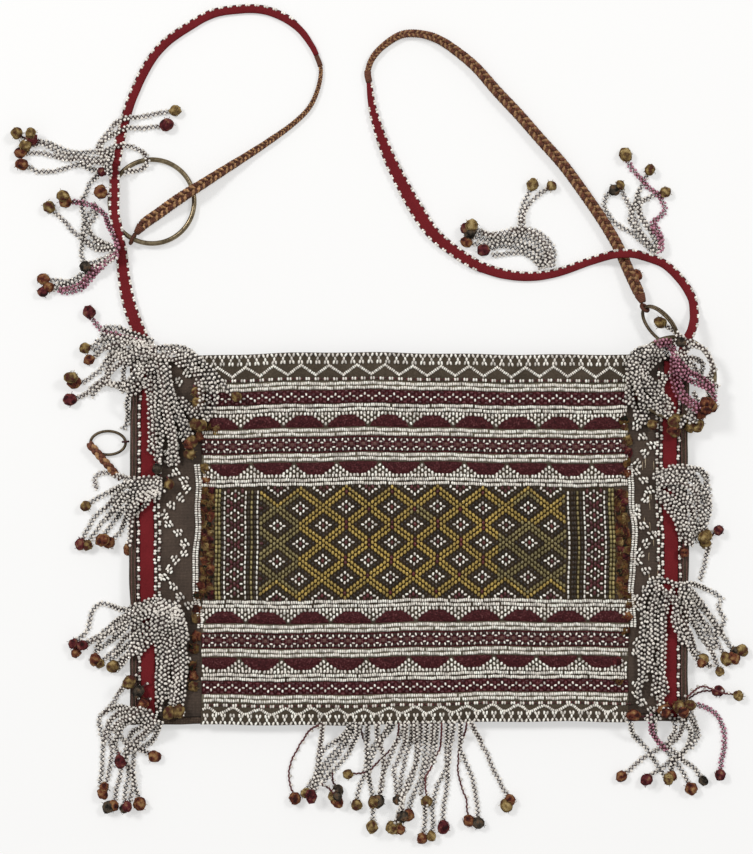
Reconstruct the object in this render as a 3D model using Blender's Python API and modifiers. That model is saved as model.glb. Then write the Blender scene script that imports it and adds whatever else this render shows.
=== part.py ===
"""Beaded cloth backpack lying flat with its front up, in metres with +Z up.

The origin is the middle of the back panel's underside, +Y points to the mouth and +X to the right.
Two cloth panels are held apart by side bindings and a bottom fold, and the beadwork lies on the front
panel in bands. A red strap and a plaited cord make each shoulder loop, with a brass ring at its end.
"""
import math

import bmesh
import bpy
from mathutils import Matrix, Vector

COLLECTION = "beaded_backpack"
MM = 0.001
GAP = 0.0003

# Pouch
BAG_WIDTH = 0.380
BAG_HEIGHT = 0.250
CLOTH = 0.0014
POUCH_DEPTH = 0.0060
BINDING_WIDTH = 0.0054
CROWN = 0.0022
PANEL_STEPS = (6, 5)
BAND_STEPS = (5, 1)
COLUMN_STEPS = (1, 3)
BLOCK_STEPS = (3, 2)
STRIP_STEPS = (1, 5)

# Beadwork: thicknesses, band heights and the margins of brown cloth beside the bands
BEAD_ROW = 0.0022
BEAD_FIELD = 0.0018
RELIEF = 0.0007
ROW_HEIGHT = 0.0055
EDGE_BAND_HEIGHT = 0.0186
HEM_BAND_HEIGHT = 0.0144
ZIGZAG_BAND_HEIGHT = 0.0086
TRIANGLE_HEIGHT = 0.0106
RING_BAND_HEIGHT = 0.0106
LEFT_MARGIN = 0.049
RIGHT_MARGIN = 0.041
TRIANGLE_PERIOD = 0.0288
MOUND_SHARE = 0.9
MOUND_FULLNESS = 0.55
MOUND_SIDES = 6
DIAMOND_WIDTH = 0.0309
DIAMOND_HEIGHT = 0.0238
LATTICE_BAR = 0.0042
LATTICE_FRAME = 0.0016

# Side columns
FLOWER_COLUMN_WIDTH = 0.0298
WOOL_PATCH_WIDTH = 0.0090
BEAD_LINE_WIDTH = 0.0042
WOOL_STRIP_WIDTH = 0.0089
WOOL_STRIP_INSET = 0.0081
WOOL_STRIP_END = 0.004
WOOL = 0.0012
CLUSTER_SWING = 0.0060
CLUSTER_PITCH = 0.0197
CLUSTER_END = 0.0068
CLUSTER_WIDTH = 0.0035

# Straps, cords and brass
STRAP_THICKNESS = 0.0030
STRAP_CROSSING = 0.0018
STRAP_TOLERANCE = 0.0005
CORD_STEP = 0.0123
LEFT_STRAP_WIDTHS = ((0.0, 9.5), (0.12, 9.0), (0.3, 6.6), (0.5, 6.2), (0.9, 5.6), (1.0, 3.6))
RIGHT_STRAP_WIDTHS = ((0.0, 3.6), (0.12, 8.0), (0.22, 11.0), (0.35, 8.0), (0.6, 6.0), (0.9, 6.6), (1.0, 6.0))
LEFT_CORD_WIDTHS = ((0.0, 3.2), (0.3, 4.2), (0.55, 6.2), (0.8, 8.2), (1.0, 8.2))
RIGHT_CORD_WIDTHS = ((0.0, 4.2), (0.15, 5.6), (0.3, 7.2), (0.45, 8.0), (1.0, 8.2))
RING_RADIUS_LEFT = 0.0287
RING_RADIUS_RIGHT = 0.0271
RING_WIRE = 0.00165
RING_SIDES = 30
LINK_WIRE = 0.0010
LINK_SIDES = 22
EYE_SIDES = 16
LINK_LENGTH = 0.0320
LINK_WIDTH = 0.0170
DEE_LENGTH = 0.0242
DEE_WIDTH = 0.0160
EYE_WHIPPING = 0.0012
EYE_CLEARANCE = 0.0006
WRAP_THREAD = 0.0007
PLAIT_THICKNESS = 0.0034
PLAIT_WIDTH = 0.0056

# Tassels
STRAND = 0.0011
KNOT = 0.0022
POMPON = 0.0028
FINE_STEP = 0.003
STRAND_LAYER = 0.0002
STRAND_LAYERS = 4
STRAND_TOLERANCE = 0.0007
SLOPE = 0.9
CURVE_SAMPLES = 12

WOOL_ROUGHNESS = 0.95
CLOTH_ROUGHNESS = 0.85
BEAD_ROUGHNESS = 0.35
BRASS_ROUGHNESS = 0.35

TOP_LEFT = Vector((-BAG_WIDTH / 2, BAG_HEIGHT / 2, 0.0))
TOP_RIGHT = Vector((BAG_WIDTH / 2, BAG_HEIGHT / 2, 0.0))
BOTTOM_LEFT = Vector((-BAG_WIDTH / 2, -BAG_HEIGHT / 2, 0.0))
BOTTOM_RIGHT = Vector((BAG_WIDTH / 2, -BAG_HEIGHT / 2, 0.0))
BOTTOM = Vector((0.0, -BAG_HEIGHT / 2, 0.0))

# Each route is a list of points in millimetres from a corner of the bag, along X and along Y. A cord's
# points also have the height of its underside above the ground. A strap is laid over what it crosses.
LEFT_STRAP = (
    (15, -11), (15, -1), (7, 14), (0, 33), (-4, 52), (-6, 72), (-8, 86), (-10, 97), (-10, 113), (-10, 124),
    (-8, 142), (-3, 162), (2, 177), (12, 198), (24, 213), (41, 225), (56, 233), (73, 236), (89, 236),
    (104, 231), (116, 222), (124, 211), (127, 205))
LEFT_CORD = (
    (127, 204.5, 0), (130, 195, 0), (128, 182, 0), (122, 169, 0), (111, 158, 0), (96, 147, 0), (81, 137, 0.2),
    (64, 126, 1.8), (49, 116, 4.4), (41, 111, 4.7), (30, 104, 2.4), (20, 97, 0.5), (10, 90, 0.2))
RIGHT_CORD = (
    (-217, 186.5, 0), (-218, 194, 0), (-214, 204, 0), (-205, 213, 0), (-194, 219, 0), (-181, 219, 0),
    (-169, 215, 0), (-157, 207, 0), (-144, 196, 0), (-130, 180, 0), (-115, 164, 0), (-101, 148, 0),
    (-85, 130, 0), (-71, 111, 0), (-58, 92, 0), (-48, 75, 0), (-40, 57, 0.2), (-36, 48, 1.4), (-32.5, 40, 3.6))
RIGHT_STRAP = (
    (-217, 186), (-215, 170), (-210, 152), (-203, 134), (-194, 116), (-185, 100), (-174, 84), (-160, 72),
    (-142, 61), (-122, 55), (-104, 54), (-87, 57), (-70, 63), (-57, 67), (-45, 69), (-33, 68), (-17, 63),
    (-5, 52), (3, 39), (4, 27), (1, 17), (-3, 9), (-5, 1), (-6, -8))
LEFT_PLAIT = ((-28, -60, 5.0), (-24, -64, 5.2), (-19, -70, 5.0), (-13, -77, 3.0), (-9, -82, 2.2))

# Where the rings and links lie, in millimetres from the same corners, and how they are turned.
LEFT_RING = (15, 105)
LEFT_EYE_ANGLE = math.radians(243.0)
RIGHT_RING = (-10, -15)
RIGHT_RING_RISE = 0.0006
RIGHT_RING_TILT = math.radians(2.0)
OVAL_LINK = (-19.5, 20.5)
OVAL_LINK_DROP = 0.0019
OVAL_LINK_TURN = math.radians(-49.0)
OVAL_LINK_PITCH = math.radians(12.0)
OVAL_LINK_ROLL = math.radians(34.0)
DEE_LINK = (0, -59.5)
DEE_TURN = math.radians(4.0)

# A tassel is an anchor, its knot and its strands, whose last point carries a pompon.
TASSELS = {
    "tassel_left_strap_upper": (TOP_LEFT, (-10, 139), (
        ((-30, 134), (-55, 143), (-68, 151)), ((-32, 130), (-58, 133), (-78, 139)),
        ((-30, 126), (-52, 121), (-77, 128)), ((-4, 156), (14, 160), (33, 170)),
        ((4, 150), (14, 156), (27, 158)), ((-14, 127), (-20, 119), (-25, 113)))),
    "tassel_left_strap_lower": (TOP_LEFT, (-6, 71), (
        ((-24, 80), (-38, 94), (-56, 103)), ((-14, 92), (-26, 103), (-46, 107)),
        ((-24, 62), (-42, 51), (-61, 51)), ((-22, 68), (-40, 60), (-58, 60)),
        ((-20, 74), (-28, 66), (-31, 59)))),
    "tassel_top_left": (TOP_LEFT, (20, -9), (
        ((6, 4), (-12, 12), (-26, 30)), ((4, -2), (-18, 4), (-35, 7)), ((2, -8), (-20, -12), (-40, -19)),
        ((4, -16), (-20, -24), (-43, -31)), ((36, -6), (58, -18), (62, -44)),
        ((38, -14), (48, -36), (46, -62)), ((24, -36), (22, -56), (19, -78)),
        ((30, -30), (34, -54), (33, -74)))),
    "tassel_left_middle": (TOP_LEFT, (14, -88), (
        ((-8, -84), (-26, -90), (-33, -102)), ((-10, -94), (-28, -110), (-36, -131)),
        ((-8, -98), (-22, -112), (-26, -129)), ((-2, -104), (-6, -118), (-17, -131)),
        ((0, -106), (-4, -122), (-3, -138)), ((20, -92), (27, -90)))),
    "tassel_left_lower": (BOTTOM_LEFT, (24, 84), (
        ((0, 84), (-24, 80), (-43, 56)), ((2, 78), (-20, 70), (-36, 46)), ((4, 72), (-14, 60), (-25, 38)),
        ((6, 68), (-8, 54), (-16, 34)), ((20, 60), (18, 36), (24, 12)), ((28, 62), (30, 38), (35, 14)))),
    "tassel_bottom_left": (BOTTOM_LEFT, (14, 4), (
        ((0, -10), (-12, -26), (-20, -51)), ((4, -12), (-6, -32), (-12, -59)), ((6, -12), (2, -34), (-3, -60)),
        ((12, -12), (10, -34), (7, -55)), ((18, -8), (22, -22)), ((-6, -6), (-8, -25)))),
    "tassel_bottom_middle": (BOTTOM, (-8, 3), (
        ((-46, -4), (-62, -28), (-79, -54)), ((-34, -8), (-50, -30), (-66, -55)),
        ((-28, -10), (-36, -34), (-45, -52)), ((-18, -10), (-28, -36), (-36, -61)),
        ((-10, -10), (-16, -40), (-20, -66)), ((-4, -10), (-16, -44), (-25, -77)),
        ((0, -10), (-4, -44), (-9, -78)), ((6, -10), (6, -44), (10, -82)), ((14, -10), (18, -44), (24, -75)),
        ((26, -8), (34, -40), (42, -72)), ((36, -4), (52, -28), (71, -55)))),
    "tassel_bottom_right": (BOTTOM_RIGHT, (-16, 7), (
        ((-26, -8), (-40, -24), (-50, -40)), ((-20, -8), (-26, -24), (-32, -39)),
        ((-14, -8), (-10, -26), (-10, -44)), ((-8, -6), (0, -26), (4, -47)), ((-2, 0), (12, -14), (22, -38)),
        ((2, 12), (12, 20), (21, 23)), ((4, 8), (20, 14), (38, 18)))),
    "tassel_right_lower": (BOTTOM_RIGHT, (-12, 94), (
        ((2, 84), (10, 66), (12, 44)), ((4, 80), (20, 58), (27, 33)), ((6, 84), (26, 64), (38, 43)),
        ((3, 101), (15, 107), (24, 83)), ((-22, 74), (-26, 52), (-26, 28)),
        ((-14, 74), (-16, 54), (-16, 32)))),
    "tassel_right_middle": (TOP_RIGHT, (-16, -85), (
        ((0, -92), (12, -108), (15, -125)), ((2, -88), (16, -104), (21, -116)),
        ((-20, -96), (-12, -118), (-6, -131)), ((-28, -96), (-30, -106), (-24, -114)),
        ((0, -82), (12, -88), (14, -98)))),
    "tassel_top_right": (TOP_RIGHT, (-22, -10), (
        ((-34, -8), (-44, -16), (-42, -34)), ((-34, -18), (-38, -34), (-42, -47)),
        ((-28, -24), (-26, -38), (-24, -50)), ((-20, -22), (-14, -32), (-9, -50)),
        ((-14, -16), (0, -30), (8, -48)), ((-8, -8), (10, -16), (18, -24)))),
    "tassel_right_strap": (TOP_RIGHT, (-98, 56), (
        ((-116, 66), (-138, 70), (-159, 84)), ((-116, 60), (-132, 66), (-144, 70)),
        ((-104, 74), (-106, 96), (-104, 118)), ((-98, 74), (-96, 94), (-90, 113)))),
    "tassel_right_strap_upper": (TOP_RIGHT, (-19, 66), (
        ((-28, 86), (-18, 104), (-41, 138)), ((-26, 88), (-30, 108), (-24, 130)),
        ((-34, 86), (-44, 102), (-48, 121)), ((-14, 84), (-12, 108)))),
}

BROWN_CLOTH = (0.072, 0.052, 0.040)
DARK_BROWN = (0.055, 0.034, 0.026)
RED_WOOL = (0.20, 0.012, 0.020)
MAROON = (0.060, 0.010, 0.016)
WHITE_BEAD = (0.76, 0.72, 0.62)
OLIVE_BEAD = (0.12, 0.11, 0.040)
YELLOW_BEAD = (0.32, 0.22, 0.045)
OCHRE_WOOL = (0.24, 0.13, 0.032)
PLAIT_TAN = (0.36, 0.17, 0.065)
BRASS = (0.23, 0.17, 0.080)


def clear_scene():
    for item in list(bpy.data.objects):
        bpy.data.objects.remove(item, do_unlink=True)


def collection(name):
    made = bpy.data.collections.new(name)
    bpy.context.scene.collection.children.link(made)
    return made


def material(name, colour, roughness=CLOTH_ROUGHNESS, metallic=0.0):
    made = bpy.data.materials.new(name)
    made.use_nodes = True
    shader = made.node_tree.nodes["Principled BSDF"]
    shader.inputs["Base Color"].default_value = (*colour, 1.0)
    shader.inputs["Roughness"].default_value = roughness
    shader.inputs["Metallic"].default_value = metallic
    return made


def mesh_object(name, mesh, colour, parts, roughness=CLOTH_ROUGHNESS, metallic=0.0):
    made = bpy.data.objects.new(name, mesh)
    mesh.materials.append(material(name, colour, roughness, metallic))
    parts.objects.link(made)
    return made


def guide_object(name, mesh, guides):
    """A cutter or an operand of a union, which isn't a piece of the backpack."""
    made = bpy.data.objects.new(name, mesh)
    guides.objects.link(made)
    made.hide_render = True
    made.display_type = "WIRE"
    return made


def from_corner(corner, point, height=0.0):
    """A route's point, in millimetres from a corner, as a place in metres."""
    z = point[2] if len(point) > 2 else height
    return Vector((corner.x + point[0] * MM, corner.y + point[1] * MM, z * MM))


def crown(x, y):
    """Rise of the filled front above its edges."""
    across = min(abs(x) / (BAG_WIDTH / 2), 1.0)
    along = min(abs(y) / (BAG_HEIGHT / 2), 1.0)
    return CROWN * (1 - across ** 2) * (1 - along ** 2)


def front_under(x, y):
    return CLOTH + POUCH_DEPTH + crown(x, y)


def front_top(x, y):
    return front_under(x, y) + CLOTH


def on_front(x, y):
    """Where a piece that lies on the front panel has its underside."""
    return front_top(x, y) + GAP


def sheet(name, left, right, bottom, top, base, thickness, steps, colour, parts, roughness=CLOTH_ROUGHNESS):
    """A rectangular layer whose underside follows base(x, y)."""
    bm = bmesh.new()
    bmesh.ops.create_grid(bm, x_segments=steps[0], y_segments=steps[1], size=0.5)
    for vert in bm.verts:
        x = left + (vert.co.x + 0.5) * (right - left)
        y = bottom + (vert.co.y + 0.5) * (top - bottom)
        vert.co = Vector((x, y, base(x, y)))
    mesh = bpy.data.meshes.new(name)
    bm.to_mesh(mesh)
    bm.free()
    made = mesh_object(name, mesh, colour, parts, roughness)
    solid = made.modifiers.new("Thickness", "SOLIDIFY")
    solid.thickness = thickness
    solid.offset = 1.0
    return made


def prism(bm, outline, low, high):
    """A closed prism over an outline given anticlockwise, between two height functions."""
    floor = [bm.verts.new((x, y, low(x, y))) for x, y in outline]
    roof = [bm.verts.new((x, y, high(x, y))) for x, y in outline]
    bm.faces.new(list(reversed(floor)))
    bm.faces.new(roof)
    for i in range(len(outline)):
        j = (i + 1) % len(outline)
        bm.faces.new((floor[i], floor[j], roof[j], roof[i]))


def cut(piece, name, outlines, low, high, guides):
    bm = bmesh.new()
    for outline in outlines:
        prism(bm, outline, low, high)
    bmesh.ops.triangulate(bm, faces=bm.faces[:])
    mesh = bpy.data.meshes.new(name)
    bm.to_mesh(mesh)
    bm.free()
    cutter = guide_object(name, mesh, guides)
    difference = piece.modifiers.new(name, "BOOLEAN")
    difference.operation = "DIFFERENCE"
    difference.object = cutter


def smooth_route(points, step):
    """Evenly spaced points on the smooth curve through a route's points."""
    dense = []
    for i in range(len(points) - 1):
        before = points[max(i - 1, 0)]
        start, end = points[i], points[i + 1]
        after = points[min(i + 2, len(points) - 1)]
        for k in range(CURVE_SAMPLES):
            t = k / CURVE_SAMPLES
            dense.append(0.5 * (2 * start + (end - before) * t
                                + (2 * before - 5 * start + 4 * end - after) * t * t
                                + (3 * start - before - 3 * end + after) * t ** 3))
    dense.append(points[-1])
    reach = [0.0]
    for a, b in zip(dense, dense[1:]):
        reach.append(reach[-1] + (b - a).length)
    count = max(2, round(reach[-1] / step))
    spaced = []
    i = 0
    for k in range(count + 1):
        goal = reach[-1] * k / count
        while i < len(dense) - 2 and reach[i + 1] < goal:
            i += 1
        share = (goal - reach[i]) / max(reach[i + 1] - reach[i], 1e-9)
        spaced.append(dense[i].lerp(dense[i + 1], share))
    return spaced


def table_value(pairs, share):
    """A value read from pairs of a share of the length and a value, with straight lines between."""
    for (low, first), (high, second) in zip(pairs, pairs[1:]):
        if share <= high:
            return first + (second - first) * (share - low) / (high - low)
    return pairs[-1][1]


def ribbon(name, route, widths, thickness, colour, parts, roughness=WOOL_ROUGHNESS):
    """A flat band laid along a route, with its width read from a table in millimetres."""
    bm = bmesh.new()
    rings = []
    last = len(route) - 1
    for i, point in enumerate(route):
        along = (route[min(i + 1, last)] - route[max(i - 1, 0)]).normalized()
        side = along.cross(Vector((0, 0, 1))).normalized()
        up = side.cross(along)
        half = table_value(widths, i / last) * MM / 2
        rings.append([bm.verts.new(point + side * half * a + up * thickness / 2 * b)
                      for a, b in ((-1, -1), (1, -1), (1, 1), (-1, 1))])
    for first, second in zip(rings, rings[1:]):
        for k in range(4):
            n = (k + 1) % 4
            bm.faces.new((first[k], first[n], second[n], second[k]))
    bm.faces.new(list(reversed(rings[0])))
    bm.faces.new(rings[-1])
    bmesh.ops.recalc_face_normals(bm, faces=bm.faces[:])
    mesh = bpy.data.meshes.new(name)
    bm.to_mesh(mesh)
    bm.free()
    return mesh_object(name, mesh, colour, parts, roughness)


def wire_curve(name, points, radius, sides, cyclic=False, thickness=None):
    """A curve object along points, with thickness(share) as its radius where it tapers."""
    curve = bpy.data.curves.new(name, "CURVE")
    curve.dimensions = "3D"
    curve.bevel_depth = radius
    curve.bevel_resolution = sides
    curve.use_fill_caps = not cyclic
    spline = curve.splines.new("POLY")
    spline.points.add(len(points) - 1)
    for i, point in enumerate(points):
        spline.points[i].co = (*point, 1.0)
        if thickness:
            spline.points[i].radius = thickness(i / (len(points) - 1)) / radius
    spline.use_cyclic_u = cyclic
    return bpy.data.objects.new(name, curve)


def wire_mesh(name, points, radius, sides, cyclic=False):
    """The same wire as a closed mesh."""
    wire = wire_curve(name + "_path", points, radius, sides, cyclic)
    bpy.context.scene.collection.objects.link(wire)
    bpy.context.view_layer.update()
    mesh = bpy.data.meshes.new_from_object(wire.evaluated_get(bpy.context.evaluated_depsgraph_get()))
    bpy.data.objects.remove(wire, do_unlink=True)
    bm = bmesh.new()
    bm.from_mesh(mesh)
    bmesh.ops.remove_doubles(bm, verts=bm.verts[:], dist=1e-6)
    bm.to_mesh(mesh)
    bm.free()
    mesh.name = name
    return mesh


def cord(name, corner, route, widths, parts):
    """A tapered plaited cord. Returns its centreline."""
    thickest = max(width for share, width in widths) * MM
    points = smooth_route([from_corner(corner, p) for p in route], CORD_STEP)
    for i, point in enumerate(points):
        point.z += table_value(widths, i / (len(points) - 1)) * MM / 2 + GAP
    tube = wire_curve(name, points, thickest / 2, 2,
                      thickness=lambda share: table_value(widths, share) * MM / 2)
    tube.data.materials.append(material(name, PLAIT_TAN))
    parts.objects.link(tube)
    return points


def oval(length, width, count):
    angles = [math.tau * i / count for i in range(count)]
    return [Vector((length / 2 * math.cos(a), width / 2 * math.sin(a), 0.0)) for a in angles]


def brass_loop(name, outline, radius, place, parts):
    """A closed brass wire whose flat outline is moved by a matrix, with its origin at the loop's middle."""
    mesh = wire_mesh(name, outline, radius, 2, cyclic=True)
    made = mesh_object(name, mesh, BRASS, parts, BRASS_ROUGHNESS, 1.0)
    made.matrix_world = place
    return made


def eye_reach(wire_radius, whipping, clearance):
    """Outer radius of an eye round a wire."""
    return wire_radius + clearance + 2 * whipping


def eye(name, centre, along, colour, wire_radius, whipping, clearance, parts):
    """A whipped eye round a wire that runs in the direction along."""
    major = wire_radius + clearance + whipping
    place = Matrix.Translation(centre) @ along.to_track_quat("Z", "Y").to_matrix().to_4x4()
    mesh = wire_mesh(name, oval(2 * major, 2 * major, EYE_SIDES), whipping, 1, cyclic=True)
    made = mesh_object(name, mesh, colour, parts)
    made.matrix_world = place


def bands_end(side):
    """How far the bands reach from the middle of the bag, to the left for a side of -1, to the right for 1."""
    return BAG_WIDTH / 2 - (RIGHT_MARGIN if side > 0 else LEFT_MARGIN)


def bead_line_end(side):
    """How far out the double line of beads beside the columns reaches, with a gap on both its sides."""
    return bands_end(side) + BEAD_LINE_WIDTH + 2 * GAP


def wool_strip():
    """The wool strips' inner and outer edge, from the middle of the bag."""
    outer = BAG_WIDTH / 2 - WOOL_STRIP_INSET
    return outer - WOOL_STRIP_WIDTH, outer


def cluster_line(side):
    """The middle of a zigzag of bead clusters, from the middle of the bag."""
    return (wool_strip()[0] + bead_line_end(side)) / 2


def left_ring_place():
    """The left ring lies on the ground and is lifted where the cord's eye passes under it."""
    low = RING_WIRE + GAP
    high = low + 2 * EYE_WHIPPING + EYE_CLEARANCE / 2
    centre = from_corner(TOP_LEFT, LEFT_RING) + Vector((0, 0, (low + high) / 2))
    tilt = math.asin((high - low) / 2 / RING_RADIUS_LEFT)
    away = Vector((math.cos(LEFT_EYE_ANGLE), math.sin(LEFT_EYE_ANGLE), 0.0))
    return Matrix.Translation(centre) @ Matrix.Rotation(tilt, 4, away.cross(Vector((0, 0, 1))))


def right_ring_place():
    """The right ring lies across the bag's corner, over the red strip."""
    centre = from_corner(TOP_RIGHT, RIGHT_RING)
    centre.z = on_front(BAG_WIDTH / 2, BAG_HEIGHT / 2) + WOOL + RING_WIRE + RIGHT_RING_RISE
    return Matrix.Translation(centre) @ Matrix.Rotation(RIGHT_RING_TILT, 4, "Y")


def oval_link_place():
    """The oval link hangs in the right ring, one side over its wire and the other under it."""
    centre = from_corner(TOP_RIGHT, OVAL_LINK)
    centre.z = right_ring_place().translation.z - OVAL_LINK_DROP
    return (Matrix.Translation(centre) @ Matrix.Rotation(OVAL_LINK_TURN, 4, "Z")
            @ Matrix.Rotation(-OVAL_LINK_PITCH, 4, "Y") @ Matrix.Rotation(OVAL_LINK_ROLL, 4, "X"))


def dee_link_place():
    """The left link lies beside the bag, held at its edge by a wrap of thread."""
    wrap = eye_reach(LINK_WIRE, WRAP_THREAD, GAP)
    low, high = LINK_WIRE + GAP, wrap + GAP
    half = DEE_LENGTH / 2
    centre = from_corner(TOP_LEFT, DEE_LINK)
    centre += Vector((-half - wrap - GAP, 0.0, (low + high) / 2))
    return (Matrix.Translation(centre) @ Matrix.Rotation(DEE_TURN, 4, "Z")
            @ Matrix.Rotation(-math.asin((high - low) / DEE_LENGTH), 4, "Y"))


def make_pouch(parts):
    """Back and front panels, the side bindings between them and the fold along the bottom."""
    half_width, half_height = BAG_WIDTH / 2, BAG_HEIGHT / 2
    inner = half_width - BINDING_WIDTH - GAP
    sheet("back_panel", -half_width, half_width, -half_height, half_height, lambda x, y: 0.0,
          CLOTH, (1, 1), BROWN_CLOTH, parts)
    sheet("front_panel", -inner, inner, -half_height + BINDING_WIDTH + GAP, half_height, front_under,
          CLOTH, PANEL_STEPS, BROWN_CLOTH, parts)
    wall_base = CLOTH + GAP
    wall = POUCH_DEPTH + CLOTH - GAP
    for side, left in (("left", -half_width), ("right", half_width - BINDING_WIDTH)):
        sheet("side_binding_" + side, left, left + BINDING_WIDTH, -half_height, half_height,
              lambda x, y: wall_base, wall, (1, 1), DARK_BROWN, parts)
    sheet("bottom_fold", -inner, inner, -half_height, -half_height + BINDING_WIDTH,
          lambda x, y: wall_base, wall, (1, 1), DARK_BROWN, parts)


def triangle_pockets(left, right, bottom, top, points_down):
    """The dark mounds between white triangles, flat along one edge and curved towards the points."""
    count = max(1, round((right - left) / TRIANGLE_PERIOD))
    period = (right - left) / count
    depth = top - bottom
    outlines = []
    for i in range(count):
        middle = left + (i + 0.5) * period
        half = period / 2 - GAP
        angles = [math.pi * k / MOUND_SIDES for k in range(MOUND_SIDES + 1)]
        curve = [(half * math.cos(a), depth * MOUND_SHARE * abs(math.sin(a)) ** MOUND_FULLNESS) for a in angles]
        if points_down:
            outlines.append([(middle + x, bottom + GAP + y) for x, y in curve])
        else:
            outlines.append([(middle - x, top - GAP - y) for x, y in curve])
    return outlines


def make_bands(parts, guides):
    """The horizontal bands from the mouth down to the hem, and the block of upright columns between them."""
    left, right = -bands_end(-1), bands_end(1)
    triangle_band = ROW_HEIGHT + TRIANGLE_HEIGHT
    upper = (("edge_band_top", EDGE_BAND_HEIGHT), ("white_row_1", ROW_HEIGHT),
             ("zigzag_band_top", ZIGZAG_BAND_HEIGHT), ("triangle_band_1", triangle_band),
             ("white_row_2", ROW_HEIGHT), ("ring_band_top", RING_BAND_HEIGHT), ("white_row_3", ROW_HEIGHT),
             ("triangle_band_2", triangle_band))
    lower = (("edge_band_bottom", HEM_BAND_HEIGHT), ("white_row_6", ROW_HEIGHT),
             ("zigzag_band_bottom", ZIGZAG_BAND_HEIGHT), ("triangle_band_4", triangle_band),
             ("white_row_5", ROW_HEIGHT), ("ring_band_bottom", RING_BAND_HEIGHT), ("white_row_4", ROW_HEIGHT),
             ("triangle_band_3", triangle_band))
    points_down = {"triangle_band_1": True, "triangle_band_2": False,
                   "triangle_band_3": True, "triangle_band_4": False}
    edge = {1: BAG_HEIGHT / 2 - GAP, -1: -BAG_HEIGHT / 2 + GAP}
    for sign, bands in ((1, upper), (-1, lower)):
        for name, height in bands:
            near, far = edge[sign], edge[sign] - sign * height
            bottom, top = min(near, far), max(near, far)
            edge[sign] = far - sign * GAP
            white = name.startswith(("white", "triangle"))
            thickness = BEAD_ROW if white else BEAD_FIELD
            band = sheet(name, left, right, bottom, top, on_front, thickness, BAND_STEPS,
                         WHITE_BEAD if white else MAROON, parts, BEAD_ROUGHNESS)
            if name in points_down:
                down = points_down[name]
                low = bottom if down else bottom + ROW_HEIGHT
                high = top - ROW_HEIGHT if down else top
                cut(band, name + "_mounds", triangle_pockets(left, right, low, high, down),
                    lambda x, y: on_front(x, y) + BEAD_ROW - RELIEF,
                    lambda x, y: on_front(x, y) + BEAD_ROW + RELIEF, guides)
    return left, right, edge[-1], edge[1]


def diamonds(left, right, bottom, top):
    """Outlines of the lattice's openings, in rows that are offset by half a diamond."""
    half_x = DIAMOND_WIDTH / 2 - LATTICE_BAR / 2
    half_y = DIAMOND_HEIGHT / 2 - LATTICE_BAR / 2
    columns = math.ceil((right - left) / DIAMOND_WIDTH / 2) + 1
    rows = math.ceil((top - bottom) / DIAMOND_HEIGHT / 2) + 1
    middle_x, middle_y = (left + right) / 2, (bottom + top) / 2
    outlines = []
    for row in range(-2 * rows, 2 * rows + 1):
        for column in range(-columns, columns + 1):
            x = middle_x + (column + 0.5 * (row % 2)) * DIAMOND_WIDTH
            y = middle_y + row * DIAMOND_HEIGHT / 2
            shape = clip([(x + half_x, y), (x, y + half_y), (x - half_x, y), (x, y - half_y)],
                         left, right, bottom, top)
            if shape:
                outlines.append(shape)
    return outlines


def clip(outline, left, right, bottom, top):
    """The part of an outline inside a rectangle, or nothing where less than a sliver is left."""
    for axis, limit, keep in ((0, left, 1), (0, right, -1), (1, bottom, 1), (1, top, -1)):
        kept = []
        for first, second in zip(outline, outline[1:] + outline[:1]):
            inside = (first[axis] - limit) * keep
            beyond = (second[axis] - limit) * keep
            if inside >= 0:
                kept.append(first)
            if inside * beyond < 0:
                share = inside / (inside - beyond)
                kept.append(tuple(a + (b - a) * share for a, b in zip(first, second)))
        outline = kept
        if len(outline) < 3:
            return None
    width = max(x for x, y in outline) - min(x for x, y in outline)
    height = max(y for x, y in outline) - min(y for x, y in outline)
    return outline if min(width, height) > LATTICE_FRAME else None


def make_columns(left, right, bottom, top, parts, guides):
    """Wool patches, flower columns and the diamond lattice between the upper and the lower bands."""
    patch = WOOL_PATCH_WIDTH + GAP
    column = FLOWER_COLUMN_WIDTH + GAP
    bead_line = BEAD_LINE_WIDTH + GAP
    for side, edge, sign in (("left", left, 1), ("right", right, -1)):
        spans = (("double_bead_line_" + side, edge - sign * bead_line, BEAD_LINE_WIDTH, BEAD_ROW, WHITE_BEAD),
                 ("wool_patches_" + side, edge, WOOL_PATCH_WIDTH, BEAD_FIELD, OCHRE_WOOL),
                 ("flower_column_" + side, edge + sign * patch, FLOWER_COLUMN_WIDTH, BEAD_FIELD, MAROON))
        for name, start, width, thickness, colour in spans:
            low, high = min(start, start + sign * width), max(start, start + sign * width)
            sheet(name, low, high, bottom, top, on_front, thickness, COLUMN_STEPS, colour, parts,
                  BEAD_ROUGHNESS)
    inner_left, inner_right = left + patch + column, right - patch - column
    ground = BEAD_ROW - RELIEF - GAP
    sheet("centre_panel", inner_left, inner_right, bottom, top, on_front, ground, BLOCK_STEPS, OLIVE_BEAD,
          parts, BEAD_ROUGHNESS)
    lattice = sheet("diamond_lattice", inner_left, inner_right, bottom, top,
                    lambda x, y: on_front(x, y) + ground + GAP, RELIEF, BLOCK_STEPS, YELLOW_BEAD, parts,
                    BEAD_ROUGHNESS)
    cut(lattice, "diamond_openings",
        diamonds(inner_left + LATTICE_FRAME, inner_right - LATTICE_FRAME, bottom + LATTICE_FRAME,
                 top - LATTICE_FRAME),
        lambda x, y: on_front(x, y) - BEAD_ROW, lambda x, y: on_front(x, y) + 2 * BEAD_ROW, guides)


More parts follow.
